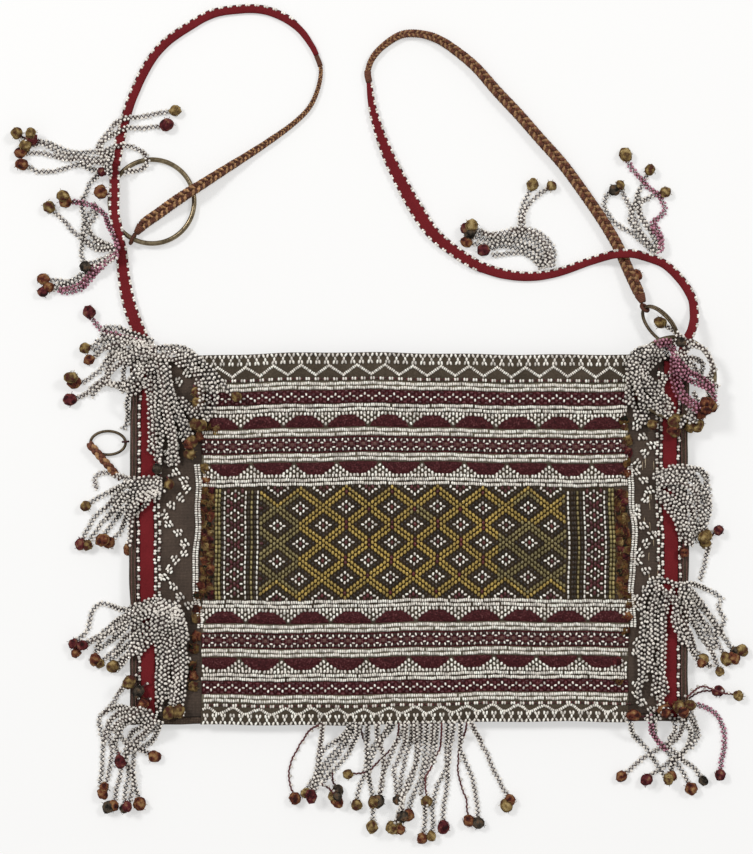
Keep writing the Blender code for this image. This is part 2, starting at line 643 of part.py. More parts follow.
def make_side_strips(parts):
    """Red wool strips along both edges, and the zigzag of bead clusters on the brown cloth beside them."""
    end = BAG_HEIGHT / 2 - WOOL_STRIP_END
    clusters_end = BAG_HEIGHT / 2 - CLUSTER_END
    inner, outer = wool_strip()
    for side, sign in (("left", -1), ("right", 1)):
        sheet("red_strip_" + side, min(sign * inner, sign * outer), max(sign * inner, sign * outer), -end, end,
              on_front, WOOL, STRIP_STEPS, RED_WOOL, parts, WOOL_ROUGHNESS)
        count = 2 * round(clusters_end / CLUSTER_PITCH)
        route = []
        for i in range(count + 1):
            x = sign * cluster_line(sign) + CLUSTER_SWING * (-1) ** i
            y = (2 * i / count - 1) * clusters_end
            route.append(Vector((x, y, on_front(x, y) + BEAD_FIELD / 2)))
        ribbon("bead_clusters_" + side, route, ((0.0, CLUSTER_WIDTH / MM), (1.0, CLUSTER_WIDTH / MM)),
               BEAD_FIELD, WHITE_BEAD, parts, BEAD_ROUGHNESS)


def make_straps_and_cords(parts):
    """The shoulder loops: each is a red strap that runs into a plaited cord. Returns what strands lie over."""
    cords = []
    for side, corner, route, widths in (("left", TOP_LEFT, LEFT_CORD, LEFT_CORD_WIDTHS),
                                        ("right", TOP_RIGHT, RIGHT_CORD, RIGHT_CORD_WIDTHS)):
        points = cord("plaited_cord_" + side, corner, route, widths, parts)
        half = max(width for share, width in widths) * MM / 2
        cords.append(over_route(points, lambda share, half=half: half, half))
    rings = [over_loop(left_ring_place(), 2 * RING_RADIUS_LEFT, 2 * RING_RADIUS_LEFT, RING_WIRE),
             over_loop(right_ring_place(), 2 * RING_RADIUS_RIGHT, 2 * RING_RADIUS_RIGHT, RING_WIRE)]
    links = [over_loop(oval_link_place(), LINK_LENGTH, LINK_WIDTH, LINK_WIRE),
             over_loop(dee_link_place(), DEE_LENGTH, DEE_WIDTH, LINK_WIRE)]
    supports = [over_bag] + rings + links + cords
    for side, corner, strap, widths, crossed in (
            ("left", TOP_LEFT, LEFT_STRAP, LEFT_STRAP_WIDTHS, [over_back_panel, rings[0]]),
            ("right", TOP_RIGHT, RIGHT_STRAP, RIGHT_STRAP_WIDTHS, [over_bag, rings[1], cords[1]])):
        flat = smooth_route([from_corner(corner, p) for p in strap], FINE_STEP)
        widest = max(width for share, width in widths) * MM / 2
        route = simplify(drape(flat, STRAP_THICKNESS / 2, widest / 2, 0.0, crossed), STRAP_TOLERANCE)
        ribbon("red_strap_" + side, route, widths, STRAP_THICKNESS, RED_WOOL, parts)
        supports.append(over_route(route, lambda share, widths=widths: table_value(widths, share) * MM / 2,
                                   STRAP_CROSSING))
    return supports


def make_brass(parts):
    """Rings, links and the eyes that hold them."""
    for side, place, radius in (("left", left_ring_place(), RING_RADIUS_LEFT),
                                ("right", right_ring_place(), RING_RADIUS_RIGHT)):
        brass_loop("brass_ring_" + side, oval(2 * radius, 2 * radius, RING_SIDES), RING_WIRE, place, parts)
    place = left_ring_place()
    outward = place.to_3x3().inverted() @ Vector((math.cos(LEFT_EYE_ANGLE), math.sin(LEFT_EYE_ANGLE), 0.0))
    outward.z = 0.0
    outward.normalize()
    centre = place @ (outward * RING_RADIUS_LEFT)
    along = place.to_3x3() @ Vector((-outward.y, outward.x, 0.0))
    eye("cord_eye_left", centre + Vector((0, 0, EYE_CLEARANCE / 2)), along, PLAIT_TAN, RING_WIRE,
        EYE_WHIPPING, EYE_CLEARANCE, parts)
    link = oval_link_place()
    brass_loop("oval_link_right", oval(LINK_LENGTH, LINK_WIDTH, LINK_SIDES), LINK_WIRE, link, parts)
    eye("cord_eye_right", link @ Vector((-LINK_LENGTH / 2, 0.0, 0.0)), link.to_3x3() @ Vector((0, 1, 0)),
        PLAIT_TAN, LINK_WIRE, EYE_WHIPPING, EYE_CLEARANCE, parts)
    dee = dee_link_place()
    brass_loop("dee_link_left", oval(DEE_LENGTH, DEE_WIDTH, LINK_SIDES), LINK_WIRE, dee, parts)
    eye("dee_wrap_left", dee @ Vector((DEE_LENGTH / 2, 0.0, 0.0)), dee.to_3x3() @ Vector((0, 1, 0)),
        DARK_BROWN, LINK_WIRE, WRAP_THREAD, GAP, parts)


def make_left_plait(parts):
    route = smooth_route([from_corner(TOP_LEFT, p) for p in LEFT_PLAIT], PLAIT_WIDTH)
    width = PLAIT_WIDTH / MM
    ribbon("short_plait_left", route, ((0.0, width), (1.0, width)), PLAIT_THICKNESS, PLAIT_TAN, parts)


def nearest(route, x, y):
    """Distance in plan from a point to a route, with the height and the share of the length there."""
    best = (1.0, 0.0, 0.0)
    total = sum((b - a).length for a, b in zip(route, route[1:]))
    passed = 0.0
    for a, b in zip(route, route[1:]):
        dx, dy = b.x - a.x, b.y - a.y
        share = ((x - a.x) * dx + (y - a.y) * dy) / max(dx * dx + dy * dy, 1e-12)
        share = min(max(share, 0.0), 1.0)
        away = math.hypot(x - a.x - dx * share, y - a.y - dy * share)
        length = (b - a).length
        if away < best[0]:
            best = (away, a.z + (b.z - a.z) * share, (passed + share * length) / total)
        passed += length
    return best


def over_bag(x, y, reach):
    """Top of what covers the front under a point or within reach of it, or the ground."""
    if abs(x) > BAG_WIDTH / 2 + reach or abs(y) > BAG_HEIGHT / 2 + reach:
        return 0.0
    side = 1 if x > 0 else -1
    if abs(x) <= bead_line_end(side) + reach:
        return on_front(x, y) + BEAD_ROW
    clusters_end = cluster_line(side) + CLUSTER_SWING + CLUSTER_WIDTH / 2
    return on_front(x, y) + (BEAD_FIELD if abs(x) <= clusters_end + reach else WOOL)


def over_back_panel(x, y, reach):
    inside = abs(x) <= BAG_WIDTH / 2 + reach and abs(y) <= BAG_HEIGHT / 2 + reach
    return CLOTH if inside else 0.0


def over_route(route, half_width, rise):
    """Top of a strap or cord, whose half width is a function of the share of its length."""
    def top(x, y, reach):
        away, z, share = nearest(route, x, y)
        return z + rise if away <= half_width(share) + reach else 0.0
    return top


def over_loop(place, length, width, wire):
    """Top of a brass ring or link."""
    loop = [place @ point for point in oval(length, width, RING_SIDES)]
    loop.append(loop[0])
    across = length / 2 + wire

    def top(x, y, reach):
        if math.hypot(x - place.translation.x, y - place.translation.y) > across + reach:
            return 0.0
        away, z, share = nearest(loop, x, y)
        return z + wire if away <= wire + reach else 0.0
    return top


def drape(points, radius, half_width, lift, supports):
    """A route's points in plan, raised over what they cross and let down again at a steady slope."""
    reach = FINE_STEP + half_width + GAP
    heights = [max([0.0] + [top(p.x, p.y, reach) for top in supports]) + radius + GAP + lift for p in points]
    step = (points[1] - points[0]).length * SLOPE
    for i in range(1, len(heights)):
        heights[i] = max(heights[i], heights[i - 1] - step)
    for i in range(len(heights) - 2, -1, -1):
        heights[i] = max(heights[i], heights[i + 1] - step)
    return [Vector((p.x, p.y, z)) for p, z in zip(points, heights)]


def simplify(points, tolerance):
    """Fewer points along a line, none of those left out being further from it than the tolerance."""
    first, last = points[0], points[-1]
    chord = (last - first).normalized()
    away = [((p - first) - chord * (p - first).dot(chord)).length for p in points]
    far = max(range(len(points)), key=lambda i: away[i])
    if away[far] <= tolerance or len(points) < 3:
        return [first, last]
    return simplify(points[:far + 1], tolerance)[:-1] + simplify(points[far:], tolerance)


def add_mesh(bm, mesh, place):
    start = len(bm.verts)
    bm.from_mesh(mesh)
    bm.verts.ensure_lookup_table()
    bmesh.ops.transform(bm, matrix=place, verts=bm.verts[start:])


def ball(radius, detail):
    bm = bmesh.new()
    bmesh.ops.create_icosphere(bm, subdivisions=detail, radius=radius)
    mesh = bpy.data.meshes.new("ball")
    bm.to_mesh(mesh)
    bm.free()
    return mesh


def resting(point, radius, supports):
    """A ball's centre where it rests on what is under it."""
    top = max([0.0] + [support(point.x, point.y, radius + GAP) for support in supports])
    return Vector((point.x, point.y, top + radius + GAP))


def tassel(name, corner, knot_point, strands, supports, parts, guides):
    """Bead strands with wool pompons at their tips, joined at one knot."""
    knot = resting(from_corner(corner, knot_point), KNOT, supports)
    bm = bmesh.new()
    for number, strand in enumerate(strands):
        flat = [Vector((knot.x, knot.y, 0.0))] + [from_corner(corner, p) for p in strand]
        lift = STRAND_LAYER * (number % STRAND_LAYERS)
        fine = drape(smooth_route(flat, FINE_STEP), STRAND, STRAND, lift, supports)
        line = simplify(fine, STRAND_TOLERANCE)
        line[0].z = knot.z
        add_mesh(bm, wire_mesh(f"{name}_strand_{number}", line, STRAND, 0), Matrix.Identity(4))
        tip = resting(line[-1], POMPON, supports)
        tip.z = max(tip.z, line[-1].z)
        add_mesh(bm, ball(POMPON, 1), Matrix.Translation(tip))
    mesh = bpy.data.meshes.new(name + "_strands")
    bm.to_mesh(mesh)
    bm.free()
    operand = guide_object(name + "_strands", mesh, guides)
    made = mesh_object(name, ball(KNOT, 1), WHITE_BEAD, parts, BEAD_ROUGHNESS)
    made.location = knot
    union = made.modifiers.new("Strands", "BOOLEAN")
    union.operation = "UNION"
    union.object = operand
    union.use_self = True


def main():
    clear_scene()
    parts = collection(COLLECTION)
    guides = collection("guides")
    make_pouch(parts)
    left, right, bottom, top = make_bands(parts, guides)
    make_columns(left, right, bottom, top, parts, guides)
    make_side_strips(parts)
    supports = make_straps_and_cords(parts)
    make_brass(parts)
    make_left_plait(parts)
    for name, (corner, knot_point, strands) in TASSELS.items():
        tassel(name, corner, knot_point, strands, supports, parts, guides)


main()
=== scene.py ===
"""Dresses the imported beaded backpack: cloth, seed beads, tassels, straps, plaited cords and brass.

Metres, +Z up. The bag lies on its back, +X is its right side as seen from above and +Y is its mouth.
"""
import math
import random

import bpy
import numpy as np
from bpy.props import FloatProperty, FloatVectorProperty, PointerProperty
from mathutils import Matrix, Vector, noise


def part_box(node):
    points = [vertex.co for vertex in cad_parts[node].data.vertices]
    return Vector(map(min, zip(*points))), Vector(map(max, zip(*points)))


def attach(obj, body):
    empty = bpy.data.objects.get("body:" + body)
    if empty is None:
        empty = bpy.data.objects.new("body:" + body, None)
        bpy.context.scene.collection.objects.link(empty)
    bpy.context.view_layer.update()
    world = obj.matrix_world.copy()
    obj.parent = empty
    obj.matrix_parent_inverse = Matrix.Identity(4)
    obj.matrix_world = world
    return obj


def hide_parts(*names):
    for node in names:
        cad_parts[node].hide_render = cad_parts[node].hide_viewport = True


bl_info = {
    "name": "Beaded Backpack",
    "version": (1, 0, 0),
    "blender": (4, 5, 0),
    "location": "3D View > Sidebar > Backpack",
    "description": "Makes the cloth, beadwork, tassels, straps, cords and brass of a beaded backpack",
    "category": "Object",
}

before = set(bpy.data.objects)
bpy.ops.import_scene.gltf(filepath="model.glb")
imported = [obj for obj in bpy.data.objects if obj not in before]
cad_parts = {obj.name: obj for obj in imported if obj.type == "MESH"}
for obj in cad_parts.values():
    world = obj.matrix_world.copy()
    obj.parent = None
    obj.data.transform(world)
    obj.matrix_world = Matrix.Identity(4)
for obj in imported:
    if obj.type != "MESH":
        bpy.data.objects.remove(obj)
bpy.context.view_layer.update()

MM = 0.001
# What keeps a piece clear of the one it lies on.
GAP = 0.0003
UP = Vector((0, 0, 1))
QUARTER = math.pi / 2
SIDES = ("left", "right")

# The pouch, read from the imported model.
BACK_LOW, BACK_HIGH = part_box("back_panel")
HALF_WIDTH, HALF_HEIGHT = BACK_HIGH[0], BACK_HIGH[1]
CLOTH = BACK_HIGH[2] - BACK_LOW[2]
WALL_LOW, WALL_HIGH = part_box("side_binding_right")
FRONT_EDGE = WALL_HIGH[2]
# How far the middle of the front stands up over its edge.
CROWN = 0.0022

# The materials by name.
FINISHES = {}
# What one step leaves for the next: the straps' routes and the relief that the strands are laid on.
STATE = {}


# Materials

def node(tree, kind, inputs=(), **settings):
    """A new shader node, with its settings and its inputs given as values or as sockets to link."""
    made = tree.nodes.new(kind)
    for key, value in settings.items():
        setattr(made, key, value)
    for key, value in dict(inputs).items():
        if isinstance(value, bpy.types.NodeSocket):
            tree.links.new(value, made.inputs[key])
        else:
            made.inputs[key].default_value = value
    return made


def sum_node(tree, operation, *values):
    """The outcome of one step of arithmetic on values or sockets."""
    return node(tree, "ShaderNodeMath", dict(enumerate(values)), operation=operation).outputs[0]


def noise_of(tree, place, size, detail):
    """A cloudy noise over a piece."""
    return node(tree, "ShaderNodeTexNoise", {"Vector": place, "Scale": size, "Detail": detail}).outputs["Fac"]


def blend_of(tree, *pairs):
    """Sum of sockets, each times its share."""
    total = 0.0
    for socket, share in pairs:
        total = sum_node(tree, "MULTIPLY_ADD", socket, share, total)
    return total


def ramp(tree, factor, tones, spread):
    """Colours read along a factor, which mostly stays within a spread around one half."""
    made = node(tree, "ShaderNodeValToRGB", {"Fac": factor})
    while len(made.color_ramp.elements) < len(tones):
        made.color_ramp.elements.new(0.5)
    for i, tone in enumerate(tones):
        made.color_ramp.elements[i].position = 0.5 + spread * (i / (len(tones) - 1) - 0.5)
        made.color_ramp.elements[i].color = (*tone, 1.0)
    return made.outputs["Color"]


def shades(colour, dark, light, turn=0.0):
    """Three tones of a colour, from its shaded to its lit side, turned a little towards warm or cool."""
    warm = (1 + turn, 1.0, 1 - turn)
    return [tuple(min(c * k * w, 0.95) for c, w in zip(colour, warm)) for k in (dark, 1.0, light)]


def finish(name, tones, roughness, own=0.0, grain=900.0, patch=0.25, patch_size=60.0, weave=None, twist=0.0,
           relief=0.0001, strength=0.5, spread=0.45, **sockets):
    """A material whose colour follows each bead's or thread's own tone, a fine grain and broad patches.

    weave gives the pitch of a cloth's threads along X and Y, and twist how strongly a spun yarn shows.
    """
    made = bpy.data.materials.new(name)
    made.use_nodes = True
    tree = made.node_tree
    shader = tree.nodes["Principled BSDF"]
    place = tree.nodes.new("ShaderNodeTexCoord").outputs["Object"]
    fine = noise_of(tree, place, grain, 3.0)
    broad = noise_of(tree, place, patch_size, 2.0)
    rest = 1.0 - own - patch
    height = fine
    parts = [(fine, rest), (broad, patch)]
    if own:
        parts.append((node(tree, "ShaderNodeAttribute", attribute_name="tone").outputs["Fac"], own))
    if weave:
        threads = []
        for direction, pitch in zip("XY", weave):
            wave = {"Vector": place, "Scale": 0.314 / pitch, "Distortion": 1.6, "Detail": 2.0,
                    "Detail Scale": 1.5}
            threads.append(node(tree, "ShaderNodeTexWave", wave, bands_direction=direction).outputs["Fac"])
        crossing = sum_node(tree, "MULTIPLY", *threads)
        parts = [(fine, rest * 0.5), (crossing, rest * 0.5)] + parts[1:]
        height = blend_of(tree, (crossing, 0.8), (fine, 0.2))
    if twist:
        lay = node(tree, "ShaderNodeAttribute", attribute_name="lay").outputs["Fac"]
        ply = sum_node(tree, "SINE", sum_node(tree, "MULTIPLY", lay, math.tau))
        parts = [(ply, twist * 0.5)] + parts
        height = blend_of(tree, (ply, 0.5), (fine, 0.5))
    shader.inputs["Base Color"].default_value = (*tones[len(tones) // 2], 1.0)
    tree.links.new(ramp(tree, blend_of(tree, *parts), tones, spread), shader.inputs["Base Color"])
    gloss = node(tree, "ShaderNodeMapRange", {"Value": fine, "To Min": roughness[0], "To Max": roughness[1]})
    tree.links.new(gloss.outputs["Result"], shader.inputs["Roughness"])
    bump = node(tree, "ShaderNodeBump", {"Height": height, "Strength": strength, "Distance": relief})
    tree.links.new(bump.outputs["Normal"], shader.inputs["Normal"])
    for key, value in sockets.items():
        shader.inputs[key.replace("_", " ")].default_value = value
    FINISHES[name] = made


def make_finishes(look):
    """Every material of the backpack, from the colours in the panel."""
    glass = dict(own=0.62, grain=1400.0, patch=0.13, spread=0.75, relief=0.00004, strength=0.35,
                 Coat_Weight=0.2)
    wool = dict(own=0.6, grain=1700.0, patch=0.08, patch_size=500.0, relief=0.0009, strength=1.0, spread=0.7,
                Specular_IOR_Level=0.1)
    cloth = dict(relief=0.0003, strength=0.8, Specular_IOR_Level=0.2)
    thread = dict(weave=(0.0008, 0.0006), relief=0.0003, strength=0.9, Specular_IOR_Level=0.2)
    yarn = dict(own=0.25, twist=0.22, relief=0.0002, strength=0.8, Specular_IOR_Level=0.3)
    matt, soft = (0.75, 0.95), (0.85, 1.0)
    finish("white_glass", shades(look.white_bead, 0.5, 1.25, 0.03), (0.22, 0.42), **glass)
    finish("pink_glass", shades(look.pink_bead, 0.6, 1.4), (0.2, 0.4), **glass)
    finish("maroon_glass", shades(look.maroon_bead, 0.5, 1.5), (0.25, 0.45), **glass)
    finish("dark_glass", shades(look.dark_bead, 0.4, 1.6), (0.22, 0.4), **glass)
    finish("olive_glass", shades(look.olive_bead, 0.5, 1.6), (0.25, 0.45), **glass)
    finish("yellow_glass", shades(look.yellow_bead, 0.55, 1.5), (0.22, 0.4), **glass)
    finish("red_glass", shades(look.red_bead, 0.5, 1.6), (0.22, 0.4), **glass)
    finish("brown_cloth", shades(look.brown_cloth, 0.42, 1.8, 0.04), matt, patch=0.42, patch_size=45.0,
           weave=(0.0009, 0.0010), Sheen_Weight=0.08, **cloth)
    finish("binding_cloth", [(0.028, 0.018, 0.012), (0.082, 0.054, 0.038), (0.150, 0.104, 0.076)], matt,
           patch=0.4, patch_size=90.0, weave=(0.0011, 0.0012), **cloth)
    finish("row_thread", [(0.080, 0.068, 0.045), (0.215, 0.186, 0.130), (0.36, 0.31, 0.23)], (0.7, 0.9),
           **thread)
    finish("mauve_cloth", [(0.050, 0.022, 0.018), (0.130, 0.066, 0.056), (0.21, 0.125, 0.105)], matt,
           grain=1500.0, **cloth)
    finish("dark_thread", [(0.014, 0.009, 0.005), (0.042, 0.027, 0.014), (0.080, 0.056, 0.030)], (0.7, 0.9),
           own=0.2, **thread)
    finish("olive_cloth", [(0.032, 0.024, 0.015), (0.086, 0.064, 0.044), (0.14, 0.11, 0.08)], matt,
           weave=(0.0008, 0.0008), **cloth)
    # The lightest, pinkish tone of the maroon thread is a painted highlight, glints speckled over the mounds
    # and the ring and zigzag bands.
    finish("maroon_thread", [(0.007, 0.0015, 0.002), (0.033, 0.0055, 0.0065), (0.057, 0.010, 0.012),
                             (0.17, 0.070, 0.070)], (0.6, 0.85), grain=1000.0, patch_size=350.0,
           relief=0.0003, strength=0.9, spread=0.40, Specular_IOR_Level=0.12)
    finish("red_felt", shades(look.red_wool, 0.72, 1.35), soft, grain=1500.0, patch=0.35,
           relief=0.0004, strength=0.8, Specular_IOR_Level=0.06)
    wools = {
        "ochre": ((0.075, 0.022, 0.016), (0.120, 0.072, 0.030), (0.260, 0.172, 0.062), (0.42, 0.31, 0.14)),
        "rust": ((0.035, 0.012, 0.010), (0.115, 0.028, 0.018), (0.210, 0.085, 0.038), (0.33, 0.19, 0.08)),
        "dark_red": ((0.024, 0.009, 0.009), (0.080, 0.014, 0.017), (0.140, 0.030, 0.032), (0.25, 0.13, 0.07)),
        "dark": ((0.012, 0.010, 0.008), (0.038, 0.030, 0.023), (0.085, 0.066, 0.047), (0.16, 0.09, 0.05)),
        "mixed": ((0.014, 0.016, 0.009), (0.070, 0.017, 0.012), (0.105, 0.075, 0.022), (0.18, 0.070, 0.026),
                  (0.26, 0.17, 0.055))}
    for name, tones in wools.items():
        finish(name + "_wool", tones, soft, **wool)
    threads = {
        "black": ((0.010, 0.006, 0.006), (0.030, 0.016, 0.014), (0.080, 0.045, 0.038), (0.6, 0.8)),
        "red": ((0.03, 0.004, 0.006), (0.075, 0.012, 0.014), (0.14, 0.03, 0.03), (0.65, 0.85)),
        "light": ((0.35, 0.26, 0.16), (0.5, 0.4, 0.27), (0.62, 0.52, 0.38), (0.6, 0.8))}
    for name, (*tones, gloss) in threads.items():
        finish(name + "_thread", tones, gloss, own=0.3)
    finish("tan_yarn", shades(look.plait_tan, 0.5, 1.5), (0.6, 0.85), **yarn)
    finish("light_yarn", shades(look.plait_tan, 0.9, 2.1), (0.6, 0.85), **yarn)
    finish("brown_yarn", shades(look.plait_brown, 0.5, 1.7), (0.6, 0.85), **yarn)
    finish("aged_brass", [(0.055, 0.040, 0.024), (0.190, 0.145, 0.085), (0.33, 0.265, 0.165)], (0.22, 0.46),
           grain=500.0, patch=0.5, patch_size=140.0, relief=0.00005, strength=0.4, Metallic=0.85)
    finish("dark_brass", [(0.02, 0.015, 0.010), (0.085, 0.060, 0.035), (0.17, 0.13, 0.075)], (0.3, 0.55),
           grain=700.0, patch=0.5, patch_size=200.0, relief=0.00006, strength=0.5, Metallic=0.8)


# Mesh

class Work:
    """Beads, threads and cloth gathered for one piece, and made into one mesh."""

    def __init__(self, seed):
        self.dice = random.Random(seed)
        self.points, self.tones, self.lays = [], [], []
        self.faces, self.finishes = [], []
        self.beads = {}

    def shape(self, points, faces, finish_name, tone=None, lays=None):
        """Faces over their own points. tone is one number for all of them or one for each."""
        start = len(self.points)
        tone = self.dice.random() if tone is None else tone
        self.points.extend(tuple(p) for p in points)
        self.tones.extend(tone if hasattr(tone, "__len__") else [tone] * len(points))
        self.lays.extend(lays or [0.0] * len(points))
        self.faces.extend(tuple(start + i for i in face) for face in faces)
        self.finishes.extend([finish_name] * len(faces))

    def bead(self, centre, along, length, width, height, finish_name, tone=None, sides=None, up=UP):
        """A barrel with its hole along a direction; width lies across and height along up."""
        tone = self.dice.random() if tone is None else tone
        if sides is None:
            sides = 8 if finish_name == "white_glass" else 6
        rows = self.beads.setdefault(sides, [])
        rows.append((*centre, *along, *up, length, width, height, tone, finish_name))

    def mottled(self, points, patch, middle):
        """A tone for each point of a tuft of wool, in patches with some grain."""
        shift = Vector((self.dice.uniform(0, 90), 0.0, 0.0))
        return [middle + 1.2 * noise.noise(Vector(p) / patch + shift) + self.dice.uniform(-0.2, 0.2)
                for p in points]

    def bead_arrays(self, sides, names):
        """Points, loops, face sizes, slots and tones of all beads with this number of sides."""
        rows = self.beads[sides]
        numbers = np.array([row[:13] for row in rows])
        slots = np.array([names.index(row[13]) for row in rows])
        centre, along, up = numbers[:, 0:3], numbers[:, 3:6], numbers[:, 6:9]
        along = along / np.linalg.norm(along, axis=1, keepdims=True)
        side = np.cross(up, along)
        side /= np.linalg.norm(side, axis=1, keepdims=True)
        up = np.cross(along, side)
        length, width, height, tone = (numbers[:, i, None] for i in range(9, 13))
        rings = []
        for reach, girth in ((-0.5, 0.31), (0.0, 0.5), (0.5, 0.31)):
            for k in range(sides):
                angle = math.tau * (k + 0.5) / sides
                rings.append(centre + along * length * reach + side * width * girth * math.cos(angle)
                             + up * height * girth * math.sin(angle))
        points = np.stack(rings, axis=1)
        loops, sizes = [], []
        for ring in (0, sides):
            for k in range(sides):
                n = (k + 1) % sides
                loops += [ring + k, ring + n, ring + sides + n, ring + sides + k]
                sizes.append(4)
        loops += list(range(sides - 1, -1, -1)) + list(range(2 * sides, 3 * sides))
        sizes += [sides, sides]
        count = len(rows)
        starts = (np.arange(count) * 3 * sides)[:, None]
        return (points.reshape(-1, 3), (starts + np.array(loops)).ravel(), np.tile(sizes, count),
                np.repeat(slots, len(sizes)), np.repeat(tone.ravel(), 3 * sides))

    def make(self, name, record_slot, nodes=(), body="bag"):
        """The mesh object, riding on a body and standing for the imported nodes."""
        names = sorted(set(self.finishes) | {row[13] for rows in self.beads.values() for row in rows})
        points = [np.array(self.points, float).reshape(-1, 3)]
        loops = [np.array([i for face in self.faces for i in face], int)]
        sizes = [np.array([len(face) for face in self.faces], int)]
        slots = [np.array([names.index(f) for f in self.finishes], int)]
        tones, lays = [np.array(self.tones, float)], [np.array(self.lays, float)]
        start = len(self.points)
        for sides in sorted(self.beads):
            corners, bead_loops, bead_sizes, bead_slots, bead_tones = self.bead_arrays(sides, names)
            points.append(corners)
            loops.append(bead_loops + start)
            sizes.append(bead_sizes)
            slots.append(bead_slots)
            tones.append(bead_tones)
            lays.append(np.zeros(len(corners)))
            start += len(corners)
        gathered = (points, loops, sizes, slots, tones, lays)
        points, loops, sizes, slots, tones, lays = map(np.concatenate, gathered)
        mesh = bpy.data.meshes.new(name)
        mesh.vertices.add(len(points))
        mesh.vertices.foreach_set("co", points.ravel())
        mesh.loops.add(len(loops))
        mesh.loops.foreach_set("vertex_index", loops)
        mesh.polygons.add(len(sizes))
        mesh.polygons.foreach_set("loop_start", np.concatenate(([0], np.cumsum(sizes)[:-1])))
        mesh.polygons.foreach_set("material_index", slots)
        for label, values in (("tone", tones), ("lay", lays)):
            mesh.attributes.new(label, "FLOAT", "POINT").data.foreach_set("value", values)
        mesh.update(calc_edges=True)
        mesh.validate()
        mesh.shade_smooth()
        for material in names:
            mesh.materials.append(FINISHES[material])
        made = bpy.data.objects.new(name, mesh)
        bpy.context.scene.collection.objects.link(made)
        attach(made, body)
        if nodes:
            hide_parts(*nodes)
        return made


def squared(value, power):
    """A cosine or sine pushed out towards the corners of a square."""
    return math.copysign(abs(value) ** power, value)


def circle(count, shift=0.0):
    """Cosine and sine of even steps round a full turn, which start at a share of a step."""
    angles = [math.tau * (k + shift) / count for k in range(count)]
    return [(math.cos(angle), math.sin(angle)) for angle in angles]


def ring_faces(rings, around, outward=True, closed=False, ends=True):
    """Faces between rings of points, with the two ends of a tube that isn't closed to a loop."""
    faces = []
    for i in range(rings if closed else rings - 1):
        j = (i + 1) % rings
        for k in range(around):
            n = (k + 1) % around
            quad = (i * around + k, i * around + n, j * around + n, j * around + k)
            faces.append(quad if outward else quad[:1] + quad[:0:-1])
    if ends and not closed:
        first, last = tuple(range(around)), tuple((rings - 1) * around + k for k in range(around))
        faces += [first[::-1], last] if outward else [first, last[::-1]]
    return faces


def sheet_faces(across, along):
    """Faces of a grid's upper and lower side, its edge in order, its row's length and its size."""
    wide = across + 1
    size = wide * (along + 1)
    faces = []
    for j in range(along):
        for i in range(across):
            a = j * wide + i
            faces.append((a, a + 1, a + 1 + wide, a + wide))
            faces.append((size + a, size + a + wide, size + a + 1 + wide, size + a + 1))
    edge = ([(i, 0) for i in range(across)] + [(across, j) for j in range(along)]
            + [(across - i, along) for i in range(across)] + [(0, along - j) for j in range(along)])
    return faces, edge, wide, size


def frames(points):
    """Direction, side and upward vector at each point of a line that runs mostly level."""
    found = []
    last = len(points) - 1
    for i in range(len(points)):
        along = (points[min(i + 1, last)] - points[max(i - 1, 0)]).normalized()
        side = along.cross(UP)
        side = side.normalized() if side.length > 1e-6 else Vector((1, 0, 0))
        found.append((along, side, side.cross(along)))
    return found


def tube(work, points, radius, sides, finish_name, tone=None, flat=1.0, pitch=0.0, closed=False):
    """A round thread or wire through points. radius is a number or one for each point."""
    axes = frames(points)
    if closed:
        axes = []
        middle = sum(points, Vector()) / len(points)
        normal = (points[0] - middle).cross(points[len(points) // 4] - middle).normalized()
        for ahead, behind in zip(points[1:] + points[:1], points[-1:] + points[:-1]):
            along = (ahead - behind).normalized()
            axes.append((along, along.cross(normal).normalized(), normal))
    made, lays = [], []
    gone = 0.0
    for i, (point, (along, side, up)) in enumerate(zip(points, axes)):
        r = radius[i] if hasattr(radius, "__len__") else radius
        if i:
            gone += (point - points[i - 1]).length
        for k, (c, s) in enumerate(circle(sides, 0.5)):
            made.append(point + side * r * c + up * r * flat * s)
            lays.append(k / sides + (gone / pitch if pitch else 0.0))
    work.shape(made, ring_faces(len(points), sides, closed=closed), finish_name, tone, lays)


def spaced(points, step):
    """Evenly spaced points on the smooth curve through a route's points."""
    dense = []
    for i in range(len(points) - 1):
        before, start = points[max(i - 1, 0)], points[i]
        end, after = points[i + 1], points[min(i + 2, len(points) - 1)]
        for k in range(12):
            t = k / 12
            square = 2 * before - 5 * start + 4 * end - after
            cube = 3 * start - before - 3 * end + after
            dense.append(0.5 * (2 * start + (end - before) * t + square * t * t + cube * t ** 3))
    dense.append(points[-1])
    reach = [0.0]
    for a, b in zip(dense, dense[1:]):
        reach.append(reach[-1] + (b - a).length)
    count = max(2, round(reach[-1] / step))
    found, i = [], 0
    for k in range(count + 1):
        goal = reach[-1] * k / count
        while i < len(dense) - 2 and reach[i + 1] < goal:
            i += 1
        share = (goal - reach[i]) / max(reach[i + 1] - reach[i], 1e-9)
        found.append(dense[i].lerp(dense[i + 1], share))
    return found


def along_table(pairs, share):
    """A value read from pairs of a share of the length and a value."""
    for (low, first), (high, second) in zip(pairs, pairs[1:]):
        if share <= high:
            return first + (second - first) * (share - low) / (high - low)
    return pairs[-1][1]


# The bag's own surface

def crown(x, y):
    """How far the filled-out front stands up over its edge."""
    across, along = min(abs(x) / HALF_WIDTH, 1.0), min(abs(y) / HALF_HEIGHT, 1.0)
    return CROWN * (1 - across ** 2) * (1 - along ** 2)


def cloth_top(x, y):
    """Height of the front cloth, with the soft puckers that the sewing draws in it."""
    pucker = noise.noise((x * 26, y * 70, 3.1)) * 0.7 + noise.noise((x * 90, y * 130, 7.7)) * 0.3
    return FRONT_EDGE + crown(x, y) + 0.00045 * pucker


